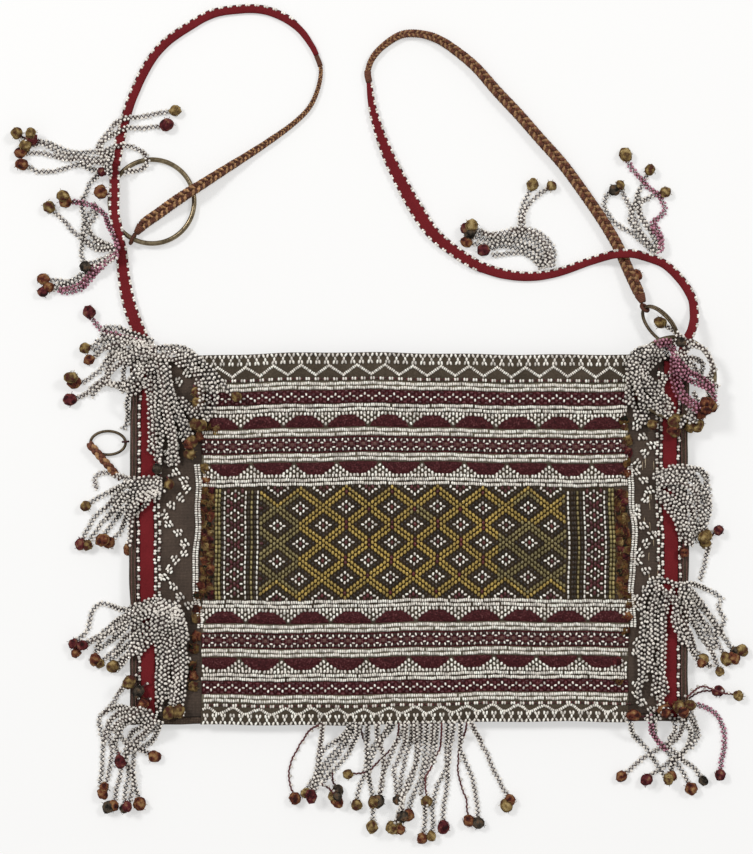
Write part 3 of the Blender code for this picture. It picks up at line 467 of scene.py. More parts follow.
def laid(x, y):
    """Where a point of the flat pattern lies on the used bag, whose rows waver and whose edges bow."""
    up, across = y / HALF_HEIGHT, x / HALF_WIDTH
    dx = 0.0006 * math.sin(41 * y + 13 * x + 0.5) + 0.0003 * math.sin(120 * y + 1.9)
    dy = 0.0007 * math.sin(27 * x + 14 * y + 1.3) + 0.0003 * math.sin(105 * x - 22 * y)
    dy += (0.0012 - 0.0026 * across ** 2) * max(up, 0.0) + 0.0018 * across * max(-up, 0.0)
    return x + dx, y + dy, cloth_top(x, y)


def front_bead(work, x, y, finish_name, turn, length, width, height, tone=None, sides=None):
    """One bead sewn on the front. Its place and sizes are in millimetres, and it is threaded along turn."""
    px, py, z = laid(x * MM, y * MM)
    turn += work.dice.gauss(0.0, 0.05)
    z += GAP + height * MM / 2 + work.dice.uniform(-0.1, 0.1) * MM
    px += work.dice.gauss(0.0, 0.05) * MM
    py += work.dice.gauss(0.0, 0.07) * MM
    work.bead((px, py, z), (math.cos(turn), math.sin(turn), 0.0), length * MM, width * MM, height * MM,
              finish_name, tone, sides)


# The size of a face of the cloth under a band.
GROUND_STEP = 0.006


def ground(work, box, finish_name, thickness):
    """A layer of cloth or laid thread under a band of beads."""
    (left, bottom, _), (right, top, _) = box
    across = max(2, round((right - left) / GROUND_STEP))
    along = max(2, round((top - bottom) / GROUND_STEP))
    layer(work, left, right, bottom, top, across, along, finish_name,
          lambda x, y: GAP, lambda x, y: GAP + thickness)


def layer(work, left, right, bottom, top, across, along, finish_name, low, high, rim=0.0003):
    """A closed soft sheet over the front between two heights above its cloth, with a rounded rim."""
    points = []
    for height in (high, low):
        for j in range(along + 1):
            for i in range(across + 1):
                x, y = left + (right - left) * (i / across), bottom + (top - bottom) * (j / along)
                px, py, z = laid(x, y)
                points.append((px, py, z + height(x, y)))
    faces, edge, wide, size = sheet_faces(across, along)
    start = 2 * size
    for i, j in edge:
        u, v = points[j * wide + i], points[size + j * wide + i]
        out_x = rim * ((i == across) - (i == 0))
        out_y = rim * ((j == along) - (j == 0))
        points.append(((u[0] + v[0]) / 2 + out_x, (u[1] + v[1]) / 2 + out_y, (u[2] + v[2]) / 2))
    count = len(edge)
    for k in range(count):
        n = (k + 1) % count
        a, b = edge[k][1] * wide + edge[k][0], edge[n][1] * wide + edge[n][0]
        faces.append((a, start + k, start + n, b))
        faces.append((start + k, size + a, size + b, start + n))
    work.shape(points, faces, finish_name, 0.5)


# Pouch

def overcast(work, points, pitch, reach, finish_name):
    """Slanted stitches over an edge."""
    route = spaced(points, pitch)
    for (along, side, up), point in zip(frames(route), route):
        lean = along * pitch * 0.35
        ends = [point - side * reach - lean, point + up * 0.0005, point + side * reach + lean]
        tube(work, ends, 0.00035, 5, finish_name)


def between(low, high, share):
    """A value between two, for a share from -1 to 1."""
    return (low + high) / 2 + (high - low) / 2 * share


# Where loose ends of pale thread show on the right of the front.
THREAD_ENDS_X, THREAD_ENDS_Y = (0.158, 0.170), (-0.035, 0.055)


def make_front():
    """The front cloth with its seams and a few loose ends of pale thread."""
    low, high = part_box("front_panel")
    work = Work(1)
    layer(work, low[0], high[0], low[1], high[1], 84, 56, "brown_cloth",
          lambda x, y: -CLOTH, lambda x, y: 0.0, 0.0004)
    for x in (low[0] + 0.0008, high[0] - 0.0008):
        edge = [Vector(laid(x, low[1] + (high[1] - low[1]) * k / 12)) for k in range(13)]
        overcast(work, edge, 0.0042, 0.0010, "red_thread")
    light = random.Random(8)
    for _ in range(16):
        x, y = light.uniform(*THREAD_ENDS_X), light.uniform(*THREAD_ENDS_Y)
        ends = []
        for s in (-1, 0, 1):
            place = Vector(laid(x + light.uniform(-2e-4, 2e-4), y + s * 0.0028))
            ends.append(place + Vector((0, 0, 0.0001 + 0.0002 * (s == 0))))
        tube(work, ends, 0.00022, 4, "light_thread")
    front = work.make("front_cloth", "brown_cloth", ["front_panel"])


def make_back():
    """The back cloth, which lies flat on the ground."""
    work = Work(2)
    points = []
    across, along = 48, 32
    for top in (1, 0):
        for j in range(along + 1):
            for i in range(across + 1):
                u, v = 2 * i / across - 1, 2 * j / along - 1
                x, y = laid(u * HALF_WIDTH * 0.998, v * HALF_HEIGHT * 0.998)[:2]
                fold = 0.00012 * noise.noise((x * 45, y * 60, 1.0))
                points.append((x, y, CLOTH + fold if top else 0.0))
    faces, edge, wide, size = sheet_faces(across, along)
    edge = [j * wide + i for i, j in edge]
    faces += [(a, size + a, size + b, b) for a, b in zip(edge, edge[1:] + edge[:1])]
    work.shape(points, faces, "brown_cloth", 0.5)
    back = work.make("back_cloth", "brown_cloth", ["back_panel"])


def make_binding(side, sign):
    """The cloth that binds a side, with four lines of stitching on top."""
    work = Work(3 + sign)
    inner, outer = WALL_LOW[0], WALL_HIGH[0]
    points = []
    rows, around = 90, 12
    for j in range(rows + 1):
        y = -HALF_HEIGHT + 2 * HALF_HEIGHT * j / rows
        for c, s in circle(around, 0.5):
            z = between(WALL_LOW[2], WALL_HIGH[2], squared(s, 0.6))
            px, py = laid(sign * between(inner, outer, squared(c, 0.6)), y)[:2]
            points.append((px + 0.0004 * noise.noise((px * 40, py * 60, z * 200)), py, z))
    work.shape(points, ring_faces(rows + 1, around, outward=sign < 0), "binding_cloth", 0.5)
    for share, thread in ((0.2, "mauve"), (0.42, "olive"), (0.66, "mauve"), (0.85, "olive")):
        seam = []
        for k in range(61):
            px, py = laid(sign * (inner + (outer - inner) * share), HALF_HEIGHT * (k / 30 - 1) * 0.995)[:2]
            px += 0.0004 * noise.noise((py * 60, share * 9, 0.0))
            seam.append(Vector((px, py, WALL_HIGH[2] - 0.0001 - 0.0012 * (2 * share - 1) ** 4)))
        tube(work, seam, 0.00042, 6, thread + "_cloth")
    work.make("binding_" + side, "dark_binding", ["side_binding_" + side])


def make_hem():
    """The fold of cloth at the bottom."""
    low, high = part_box("bottom_fold")
    work = Work(6)
    points = []
    rows, around = 110, 10
    for j in range(rows + 1):
        x = low[0] + (high[0] - low[0]) * j / rows
        for c, s in circle(around, 0.5):
            z = between(low[2], high[2], squared(s, 0.7))
            px, py = laid(x, between(low[1], high[1], squared(c, 0.7)))[:2]
            points.append((px, py + 0.0004 * noise.noise((px * 60, z * 200, 2.0)), z))
    work.shape(points, ring_faces(rows + 1, around), "binding_cloth", 0.5)
    work.make("hem_fold", "dark_binding", ["bottom_fold"])


# Bands of beads

def edges(name):
    """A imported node's left, right, bottom and top in millimetres."""
    low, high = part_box(name)
    return low[0] / MM, high[0] / MM, low[1] / MM, high[1] / MM


def begun(name, seed, under, thickness=0.0005):
    """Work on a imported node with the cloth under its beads, and the node's edges in millimetres."""
    work = Work(seed)
    ground(work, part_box(name), under, thickness)
    return (work, *edges(name))


def white_rows(work, left, right, bottom, top, pitch):
    """Two rows of white beads threaded side by side, sewn down every few beads."""
    middle, apart = (bottom + top) / 2, 1.40
    for row in (-1, 1):
        x = left + work.dice.uniform(0.0, 2.0)
        until = work.dice.randint(10, 28)
        while x < right - 0.7:
            bulge = 0.22 * math.sin(x * 0.31 + row + middle) + 0.14 * math.sin(x * 0.83 + 2 * row)
            front_bead(work, x, middle + row * apart + bulge, "white_glass", work.dice.gauss(0.0, 0.06),
                       pitch * 0.8, work.dice.uniform(2.55, 2.85), 2.3, sides=6)
            x += pitch * work.dice.uniform(0.94, 1.06)
            until -= 1
            if until == 0:
                x += work.dice.choice((0.3, 0.5, 1.1))
                until = work.dice.randint(10, 34)


def make_white_rows(sizes):
    """The six rows of white beads between the patterned bands."""
    for number in range(1, 7):
        name = f"white_row_{number}"
        work, *box = begun(name, 20 + number, "row_thread")
        white_rows(work, *box, sizes.row_pitch / MM)
        work.make("beads_" + name, "white_beads", [name])


# Whether a band's triangles point down, and how far they are shifted to the right, in millimetres.
TRIANGLES = {"triangle_band_1": (True, -2.3), "triangle_band_2": (False, 4.2), "triangle_band_3": (True, 1.0),
             "triangle_band_4": (False, -3.6)}
TRIANGLE_ROW = 5.5
TRIANGLE_PERIOD = 29.0
# Half the width of a mound and its depth, the first in periods.
MOUND_HALF, MOUND_DEPTH = 0.465, 8.2
# How many beads each row of a triangle reaches to both sides, from its base to its point.
APEX_REACH = (6, 4, 3, 2, 1, 0)


def mound(work, middle, left, right, base, sign):
    """A cushion of maroon satin stitches, flat along one edge and curved towards the white beads."""
    across, along = 14, 5
    points, faces = [], []
    half = TRIANGLE_PERIOD * MOUND_HALF
    for i in range(across + 1):
        x = min(max(middle + (-1 + 2 * i / across) * half, left), right)
        u = (x - middle) / half
        reach = MOUND_DEPTH * max(1 - u * u, 0.0) ** 0.62 + 0.15
        for j in range(along + 1):
            v = j / along
            px, py, z = laid(x * MM, (base + sign * v * reach) * MM)
            swell = 1.5 * math.sqrt(max(math.sin(math.pi * (0.06 + 0.88 * v)), 0.0)) * (1 - 0.55 * u ** 4)
            points.append((px, py, z + GAP + swell * MM))
    for i in range(across):
        for j in range(along):
            a = i * (along + 1) + j
            quad = (a, a + along + 1, a + along + 2, a + 1)
            faces.append(quad if sign > 0 else quad[::-1])
    work.shape(points, faces, "maroon_thread", work.dice.random())


def make_triangles(sizes):
    """Bands with a double white row, a staggered triangle of single beads and maroon mounds between."""
    for number, (name, (down, shift)) in enumerate(TRIANGLES.items()):
        work, left, right, bottom, top = begun(name, 40 + number, "olive_cloth")
        sign = -1 if down else 1
        rim, far = (top, bottom) if down else (bottom, top)
        inner = rim + sign * TRIANGLE_ROW
        white_rows(work, left, right, min(rim, inner), max(rim, inner), sizes.row_pitch / MM)
        start, base = inner + sign * 1.3, far - sign * 0.3
        for k in range(-6, 7):
            apex = shift + k * TRIANGLE_PERIOD + 4.0
            for r, reach in enumerate(APEX_REACH):
                for c in range(-reach, reach + 1):
                    # The base row is full, but every other triangle leaves its two corners to its neighbours.
                    if (c + r) % 2 and r or (r == 0 and c in (-6, 6) and k % 2):
                        continue
                    x = apex + c * TRIANGLE_PERIOD / 12.3
                    y = start + sign * r * 1.62
                    if left + 1 < x < right - 1:
                        front_bead(work, x + work.dice.gauss(0, 0.12), y, "white_glass",
                                   QUARTER + work.dice.gauss(0, 0.3), 2.15, 1.75, 1.8)
            middle = apex + TRIANGLE_PERIOD / 2
            if middle - TRIANGLE_PERIOD * 0.46 < right - 3 and middle + TRIANGLE_PERIOD * 0.46 > left + 3:
                mound(work, middle, left + 0.4, right - 0.4, base, -sign)
        work.make("beads_" + name, "white_beads", [name])


# The beads of a ring band's four kinds of column: height, glass and turn. The sides of a ring are alike.
RING_SIDE = ((3.15, "white_glass", 0.0), (0.9, "maroon_glass", 0.0), (-0.9, "maroon_glass", 0.0),
             (-3.15, "white_glass", 0.0))
RING_COLUMNS = (
    ((3.7, "dark_glass", 0.0), (1.65, "white_glass", QUARTER), (0.0, "red_glass", QUARTER),
     (-1.65, "white_glass", QUARTER), (-3.7, "dark_glass", 0.0)),
    RING_SIDE,
    ((3.5, "dark_glass", QUARTER), (-3.5, "dark_glass", QUARTER)),
    RING_SIDE)


def make_ring_bands():
    """Maroon bands with an open ring of white beads every eight millimetres."""
    for number, name in enumerate(("ring_band_top", "ring_band_bottom")):
        work, left, right, bottom, top = begun(name, 50 + number, "maroon_thread")
        middle = (bottom + top) / 2
        count = round((right - left) / 8.05)
        pitch = (right - left) / count / 4
        for c in range(4 * count):
            x = left + (c + 0.5) * pitch
            part = (c + number) % 4
            for y, glass, turn in RING_COLUMNS[part]:
                lean = 0.0 if part == 0 else (0.35 if (part == 1) == (y > 0) else -0.35)
                size = (1.2, 1.2, 1.3) if glass == "red_glass" else (1.95, 1.35, 1.7)
                front_bead(work, x, middle + y, glass, QUARTER + turn + lean + work.dice.gauss(0, 0.1), *size)
            if part == 2:
                pad(work, x, middle, 1.75, 1.5, 1.2, "mauve_cloth")
        work.make("beads_" + name, "maroon_beads", [name])


def pad(work, x, y, half_x, half_y, height, finish_name, turn=0.0, rings=3, around=10, lump=0.0):
    """A small rounded cushion sewn on the front, in millimetres."""
    points = []
    for r in range(1, rings + 1):
        share = r / rings
        for c, s in circle(around):
            dx, dy = half_x * share * squared(c, 0.7), half_y * share * squared(s, 0.7)
            wobble = 1 + lump * noise.noise((x + dx * 1.3, y + dy * 1.3, 5.0))
            qx = x + (dx * math.cos(turn) - dy * math.sin(turn)) * wobble
            qy = y + (dx * math.sin(turn) + dy * math.cos(turn)) * wobble
            px, py, z = laid(qx * MM, qy * MM)
            bulge = height * math.sqrt(max(1 - share ** 2, 0.0)) + 0.05
            bulge *= 1 + lump * 1.4 * noise.noise((qx * 0.9, qy * 0.9, 9.0))
            points.append((px, py, z + GAP + bulge * MM))
    px, py, z = laid(x * MM, y * MM)
    points.append((px, py, z + GAP + height * MM))
    faces = ring_faces(rings, around, outward=False, ends=False)
    faces += [(len(points) - 1, k, (k + 1) % around) for k in range(around)]
    # Wool tufts on the bag get a darker middle tone than wool on the ground, as painted shade.
    work.shape(points, faces, finish_name, work.mottled(points, 0.0040, 0.27) if lump else None)


def make_zigzag_bands():
    """Maroon bands with a zigzag of single white beads."""
    for number, (name, period) in enumerate((("zigzag_band_top", 10.04), ("zigzag_band_bottom", 9.57))):
        work, left, right, bottom, top = begun(name, 60 + number, "maroon_thread")
        middle = (bottom + top) / 2
        count = 4 * round((right - left) / period)
        pitch = (right - left) / count
        for c in range(count):
            x = left + (c + 0.5) * pitch
            zig = (1, 0, -1, 0)[c % 4]
            turn = 0.0 if c % 2 else QUARTER
            for r in range(-2, 3):
                if (r + c) % 2 == 0:
                    continue
                glass, size = "maroon_glass", (2.2, 1.9, 1.6)
                if r == zig:
                    glass, size = "white_glass", (1.9, 1.5, 1.8)
                front_bead(work, x, middle + r * 1.64, glass, turn + work.dice.gauss(0, 0.15), *size)
        work.make("beads_" + name, "maroon_beads", [name])


def bead_line(work, points, pitch, width):
    """White beads threaded along a line given in millimetres."""
    route = spaced([Vector((x, y, 0.0)) for x, y in points], pitch)
    for (along, *_), p in zip(frames(route), route):
        front_bead(work, p.x, p.y, "white_glass", math.atan2(along.y, along.x) + work.dice.gauss(0.0, 0.06),
                   pitch * 0.78, width * work.dice.uniform(0.92, 1.06), 1.8)


# The beads of a forked picot: to the side of its middle, down from the rim, and its lean.
PICOT = ((-1.45, 0.9, 0.4), (1.45, 0.9, -0.4), (0.0, 3.4, 0.0), (-1.05, 5.8, -0.15), (1.05, 5.8, 0.15))


def make_edge_bands():
    """The bands at the mouth and the hem: forked picots, a zigzag line and pairs of beads."""
    for number, name in enumerate(("edge_band_top", "edge_band_bottom")):
        work, left, right, bottom, top = begun(name, 70 + number, "olive_cloth", 0.0006)
        sign = 1 if number == 0 else -1
        rim = top if sign > 0 else bottom
        pitch = (right - left) / round((right - left) / 5.97)
        for k in range(round((right - left) / pitch)):
            x = left + (k + 0.5) * pitch
            for dx, depth, lean in PICOT:
                front_bead(work, x + dx, rim - sign * depth, "white_glass",
                           QUARTER + sign * lean + work.dice.gauss(0, 0.12), 2.5, 1.7, 1.8)
            front_bead(work, x + pitch / 2, rim - sign * 0.8, "dark_glass", 0.0, 2.2, 1.8, 1.4)
        pairs = round((right - left) / 6.35)
        line = bottom + 1.7 if sign > 0 else top - 1.7
        for k in range(pairs):
            x = left + (k + 0.5) * (right - left) / pairs
            for dx in (-0.75, 0.75):
                front_bead(work, x + dx * 1.15, line, "white_glass", 0.0, 1.3, 2.55, 1.9)
            for dx, glass in ((2.1, "red_glass"), (3.2, "dark_glass"), (4.3, "red_glass")):
                front_bead(work, x + dx, line, glass, 0.0, 0.95, 1.8, 1.3)
        if sign > 0:
            half, x = 9.47, left + 2.2
            start, end = bottom + 4.3, bottom + 10.8
            while x + half < right:
                bead_line(work, [(x, start), (x + half, end)], 1.4, 2.3)
                start, end = end, start
                x += half
        else:
            period, x = 17.6, left + 1.0
            low, high = bottom + 7.0, bottom + 11.2
            while x + period < right:
                rise = high + work.dice.uniform(-0.5, 0.3)
                bow = [(x, rise - 1.1), (x + 2.6, rise), (x + 5.6, rise - 1.2), (x + 8.4, low + 0.8),
                       (x + 10.8, low), (x + 14.2, low + 1.2), (x + 17.2, rise - 1.1)]
                bead_line(work, bow, 1.45, 2.3)
                x += period
        work.make("beads_" + name, "white_beads", [name])


# Upright columns and the centre

# The height of a row and the width of a column of beads, and the two ends of the double lines.
ROW = 3.38
COLUMN = 2.205
WAVY_LINE = (51.0, -58.5)


def upright_line(work, x, bottom, top, finish_name, length, width, step=ROW):
    """Beads threaded one above another."""
    y = bottom + 1.4
    while y < top - 0.9:
        front_bead(work, x, y, finish_name, QUARTER, length, width, 1.8)
        y += step


def make_flower_columns():
    """A maroon column of small bead rings between white, olive and dark lines, on each side of the centre."""
    for number, side in enumerate(SIDES):
        name = "flower_column_" + side
        work, left, right, bottom, top = begun(name, 80 + number, "dark_thread")
        outward, outer = (-1, left) if side == "left" else (1, right)

        def at(offset):
            return outer - outward * offset

        for offset in (1.3, 3.5):
            upright_line(work, at(offset), bottom, top, "olive_glass", 2.6, 2.0, 3.15)
        for offset in (5.3, 23.2, 27.4):
            upright_line(work, at(offset), bottom, top, "dark_glass", 2.3, 1.7)
        for offset in (7.0, 21.1, 29.2) if side == "left" else (7.0, 20.9):
            upright_line(work, at(offset), bottom, top, "white_glass", 2.4, 1.4)
        upright_line(work, at(25.3), bottom, top, "olive_glass", 2.4, 1.7)
        if side == "right":
            upright_line(work, at(29.0), bottom, top, "dark_glass", 2.3, 1.7)
        middle_y = (bottom + top) / 2 - 0.8
        for c in range(-2, 3):
            x = at(14.05) + c * 2.35
            for r in range(-12, 13):
                y = middle_y + (r + 0.5 * (c % 2)) * 3.33
                if not bottom + 1 < y < top - 1:
                    continue
                step = (r + 0.5 * (c % 2) + 30) % 4
                away = min(step, 4 - step)
                white = away in ((1,), (0.5,), (0, 2))[abs(c)]
                turn = QUARTER
                if abs(c) == 2 and white:
                    turn = 0.0
                elif abs(c) == 1:
                    turn = QUARTER + 0.4 * c * (1 if step < 2 else -1)
                glass, size = "maroon_glass", (2.9, 2.1, 1.6)
                if white:
                    glass, size = "white_glass", (1.9, 1.45, 1.8)
                front_bead(work, x, y, glass, turn, *size)
        work.make("beads_" + name, "maroon_beads", [name])


def make_centre():
    """The diamond lattice of yellow beads on dark beads, each diamond with a small white ring."""
    work, left, right, bottom, top = begun("centre_panel", 90, "dark_thread", 0.0006)
    middle_x, middle_y = -11.9, (bottom + top) / 2
    for c in range(-40, 54):
        x = middle_x + c * COLUMN
        if not left + 0.8 < x < right - 2.6:
            continue
        for half in range(-22, 23):
            if (half + c) % 2:
                continue
            r = half / 2
            y = middle_y + r * ROW
            dc, dr = (c + 7) % 14 - 7, (r + 3.5) % 7 - 3.5
            if abs(dc) / 7 + abs(dr) / 3.5 > 1.0:
                dc, dr = c % 14 - 7, r % 7 - 3.5
            layer_number = round((abs(dc) / 7 + abs(dr) / 3.5) * 3.5)
            at_edge = abs(r - dr) > 9.5
            lit = 0.5 + 0.5 * noise.noise((x * 0.016, y * 0.03, 2.0)) + (0.25 if -75 < x < 60 else -0.2)
            turn = QUARTER + (0.3 if (dc > 0) == (dr > 0) else -0.3)
            glass, tone = "dark_glass", None
            if at_edge:
                depth = dr * (-1 if r > 0 else 1) + abs(dc) / 2
                if depth < 1:
                    glass = "maroon_glass"
                elif depth in (1, 3):
                    glass = "white_glass" if depth == 1 else "yellow_glass"
            elif layer_number == 1:
                glass = "white_glass" if x - dc * COLUMN > left + 2 else "maroon_glass"
            elif layer_number == 0:
                glass, turn = ("red_glass" if work.dice.random() < 0.6 else "maroon_glass"), QUARTER
            elif layer_number == 3:
                glass = "yellow_glass" if lit > 0.5 else "olive_glass"
                tone = min(max(lit * 0.8 + work.dice.uniform(-0.25, 0.25), 0.0), 1.0)
                if dc == 0 and -46 < x < 52:
                    glass, turn, tone = "red_glass", QUARTER, None
            if dc == 0 or (abs(dc) == 2 and dr == 0 and layer_number == 1):
                turn = 0.0 if dc else QUARTER
            size = (2.05, 1.65, 1.9) if glass == "white_glass" else (2.5, 2.2, 1.9)
            if glass == "dark_glass":
                size = (2.2, 2.0, 1.4)
            front_bead(work, x, y, glass, turn + work.dice.gauss(0, 0.12), *size, tone)
    upright_line(work, 107.9, bottom, top, "white_glass", 2.5, 1.55)
    work.make("lattice_beads", "yellow_beads", ["centre_panel", "diamond_lattice"])


# A letter for each wool.
WOOLS = {"o": "ochre_wool", "r": "rust_wool", "d": "dark_red_wool", "k": "dark_wool", "m": "mixed_wool"}
# Tufts of wool at the ends of the bands, in millimetres, with a letter for their wool.
TUFTS = {
    "left": ((-139, 49, "o"), (-138, 41, "r"), (-142, 70, "r"), (-144, 79, "o"), (-137, 77, "m"),
             (-131, 75, "o"), (-141, -30, "r"), (-143, -37, "m"), (-143.5, -46, "r"), (-144.5, -53, "o"),
             (-145, -65, "r"), (-146.5, -73, "m"), (-147, -85, "m"), (-147, -92, "r"), (-147.5, -99, "o")),
    "right": ((146, 81, "m"), (147, 76, "o"), (149, 67, "o"), (149, 59, "d"), (148, 52, "m"), (148, 45, "r"),
              (151, 95, "r"), (148, -37, "m"), (148.5, -44, "o"), (148.5, -52, "r"), (147, -62, "m"),
              (142, -83, "d"), (143, -97, "m"))}
# The wools of a stack of tufts, in turn, by their letters.
STACKED = "mdomrmo"


def make_wool_patches():
    """Tufts of ochre, rust, dark red and mixed wool, stacked beside the flower columns."""
    wools = [WOOLS[letter] for letter in STACKED]
    for number, side in enumerate(SIDES):
        name = "wool_patches_" + side
        work, left, right, bottom, top = begun(name, 95 + number, "brown_cloth")
        y, k = bottom + 1.0, number * 2
        while y < top - 2.0:
            tall = work.dice.uniform(4.6, 6.6)
            for part in range(2):
                x = left + (right - left) * (0.3 + 0.4 * part) + work.dice.uniform(-0.6, 0.6)
                pad(work, x, y + tall / 2 + work.dice.uniform(-0.8, 0.8), 3.0, tall * 0.65,
                    work.dice.uniform(1.3, 1.9), wools[(k + part) % len(wools)],
                    work.dice.uniform(-0.5, 0.5), 6, 18, 0.55)
            for fibre in range(16):
                wisp(work, work.dice.uniform(left + 0.5, right - 0.5), y + work.dice.uniform(0, tall), 1.7,
                     wools[(k + fibre) % len(wools)])
            y += tall * 0.92
            k += 1
        for x, y, letter in TUFTS[side]:
            pad(work, x, y, work.dice.uniform(2.6, 3.6), work.dice.uniform(2.8, 3.8), 2.7, WOOLS[letter],
                work.dice.uniform(-0.6, 0.6), 5, 14, 0.6)
            for _ in range(5):
                wisp(work, x + work.dice.uniform(-2.5, 2.5), y + work.dice.uniform(-2.5, 2.5), 2.5,
                     WOOLS[letter])
        work.make("wool_tufts_" + side, "ochre_wool", [name])


def wisp(work, x, y, height, finish_name):
    """A curled loose fibre."""
    heading = work.dice.uniform(0, math.tau)
    points = []
    for k in range(4):
        heading += work.dice.uniform(-0.7, 0.7)
        x += math.cos(heading) * 0.9
        y += math.sin(heading) * 0.9
        px, py, z = laid(x * MM, y * MM)
        points.append(Vector((px, py, z + GAP + (height + 0.35 * math.sin(k * 1.5)) * MM)))
    tube(work, points, 0.00016, 3, finish_name)


def make_bead_lines():
    """The double white line beside the wool, which runs on past the block at both ends."""
    start, end = WAVY_LINE
    for number, side in enumerate(SIDES):
        name = "double_bead_line_" + side
        work = Work(100 + number)
        left, right, *_ = edges(name)
        for x in (left + 1.0, right - 1.0):
            line = []
            for k in range(24):
                y = start + (end - start) * k / 23
                line.append((x + 1.1 * math.sin(y * 0.075 + number) + 0.4 * math.sin(y * 0.21), y))
            bead_line(work, line, 1.55, 2.2)
        work.make("bead_line_" + side, "white_beads", [name])


# Wool strips and bead clusters along the sides

def make_side_strips():
    """Red wool strips edged with pairs of white beads."""
    for number, side in enumerate(SIDES):
        name = "red_strip_" + side
        work = Work(110 + number)
        low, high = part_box(name)
        layer(work, low[0], high[0], low[1], high[1], 8, 110, "red_felt", lambda x, y: GAP * 0.3,
              lambda x, y: GAP + 0.0009 * (1 - ((x - (low[0] + high[0]) / 2) / 0.0052) ** 4), 0.0005)
        left, right, bottom, top = edges(name)
        lines = (left - 1.4, right + 1.4, right + 4.1)
        if side == "right":
            lines = (right + 1.4, left - 1.4, left - 4.1)
        for line_x, start, pitch in zip(lines, (0.0, 1.2, 4.1), (6.2, 6.0, 6.0)):
            y = bottom + 2.5 + start
            while y < top - 3:
                for dy in (-0.95, 0.95):
                    x = line_x + 0.4 * math.sin(y * 0.2) + work.dice.gauss(0, 0.18)
                    front_bead(work, x, y + dy, "white_glass", QUARTER + work.dice.gauss(0, 0.2),
                               1.6, 2.35, 1.9)
                ends = []
                for dy in (1.9, 3.0, 4.1):
                    ends.append(Vector(laid((line_x + 0.1) * MM, (y + dy) * MM)) + Vector((0, 0, 0.0004)))
                tube(work, ends, 0.0004, 4, "red_thread")
                y += pitch * work.dice.uniform(0.96, 1.04)
        work.make("wool_strip_" + side, "red_wool", [name])


# Where a zigzag of clusters has its middle, its swing, its period and the height of one of its turns.
ZIGZAGS = {"left": (-157.9, 8.3, 40.0, 15.8), "right": (158.7, 6.4, 30.3, 18.3)}
# The beads of a cluster, along its slant and to its side. The outer two take turns.
CLUSTER = ((-1.9, -1.2), (-1.2, 1.2), (1.0, -1.2), (1.7, 1.2), (0.1, 3.1), (-0.6, -3.1))


def make_clusters():
    """Groups of five slanted beads that run in a zigzag down the brown cloth."""
    for number, side in enumerate(SIDES):
        name = "bead_clusters_" + side
        work = Work(120 + number)
        *_, bottom, top = edges(name)
        middle, swing, period, turn_height = ZIGZAGS[side]
        y, k = bottom + 2.0, 0
        while y < top - 2.0:
            share = (y - turn_height) / period * 4 % 4
            zig = share - 1 if share < 2 else 3 - share
            x = middle + swing * zig
            slant = 0.95 if share < 2 else math.pi - 0.95
            if k % 9 == 5:
                slant = QUARTER
            c, s = math.cos(slant), math.sin(slant)
            for ahead, aside in CLUSTER:
                if abs(aside) > 2 and (k + (aside > 0)) % 2:
                    continue
                bx = x + ahead * c - aside * s + work.dice.gauss(0, 0.2)
                by = y + ahead * s + aside * c + work.dice.gauss(0, 0.2)
                front_bead(work, bx, by, "white_glass", slant + work.dice.gauss(0, 0.25), 2.4, 1.75, 1.8)
            y += 6.1 + work.dice.uniform(-0.4, 0.4)
            k += 1
        work.make("bead_zigzag_" + side, "white_beads", [name])


# What lies on the ground and on the bag

class Relief:
    """A map of the highest thing laid down so far, so that the next one rests on it."""

    left, bottom, cell = -0.300, -0.240, 0.001
    wide, high = 570, 650

    def __init__(self, start=None):
        self.tops = np.zeros((self.high, self.wide)) if start is None else start.tops.copy()

    def index(self, x, y):
        """The column and row of a place."""
        return (min(max(int(round((x - self.left) / self.cell)), 0), self.wide - 1),
                min(max(int(round((y - self.bottom) / self.cell)), 0), self.high - 1))

    def top(self, x, y, reach):
        """The highest thing within reach of a place."""
        i, j = self.index(x, y)
        r = max(0, int(round(reach / self.cell)))
        return float(self.tops[max(j - r, 0):j + r + 1, max(i - r, 0):i + r + 1].max())

    def lay(self, x, y, reach, top):
        """Something round that reaches this far and this high."""
        i, j = self.index(x, y)
        r = int(math.ceil(reach / self.cell))
        for b in range(max(j - r, 0), min(j + r + 1, self.high)):
            for a in range(max(i - r, 0), min(i + r + 1, self.wide)):
                if math.hypot(a - i, b - j) * self.cell <= reach + 1e-6 and self.tops[b, a] < top:
                    self.tops[b, a] = top

    def lay_box(self, low, high, top):
        """Something whose top is a function of the place."""
        i, j = self.index(low[0], low[1])
        k, m = self.index(high[0], high[1])
        for b in range(j, m + 1):
            for a in range(i, k + 1):
                x, y = self.left + a * self.cell, self.bottom + b * self.cell
                self.tops[b, a] = max(self.tops[b, a], top(x, y))


def draped(points, relief, reach, rise, slope=0.9, cap=None, floor=None):
    """A level route raised over what it crosses and let down again at a steady slope.

    cap is the most that it rises over what lies on the floor relief.
    """
    heights = []
    for p in points:
        top = relief.top(p.x, p.y, reach)
        if cap is not None:
            top = min(top, floor.top(p.x, p.y, reach) + cap)
        heights.append(top + rise)
    for order in (range(1, len(heights)), range(len(heights) - 2, -1, -1)):
        for i in order:
            j = i - 1 if order.step > 0 else i + 1
            step = (points[i] - points[j]).length * slope
            heights[i] = max(heights[i], heights[j] - step)
    smooth = heights[:]
    for i in range(1, len(heights) - 1):
        smooth[i] = max(heights[i], (heights[i - 1] + heights[i] * 2 + heights[i + 1]) / 4)
    return [Vector((p.x, p.y, z)) for p, z in zip(points, smooth)]


# The corners at the mouth, from which the loops' routes are measured in millimetres.
CORNERS = {"left": (-190.0, 125.0), "right": (190.0, 125.0)}
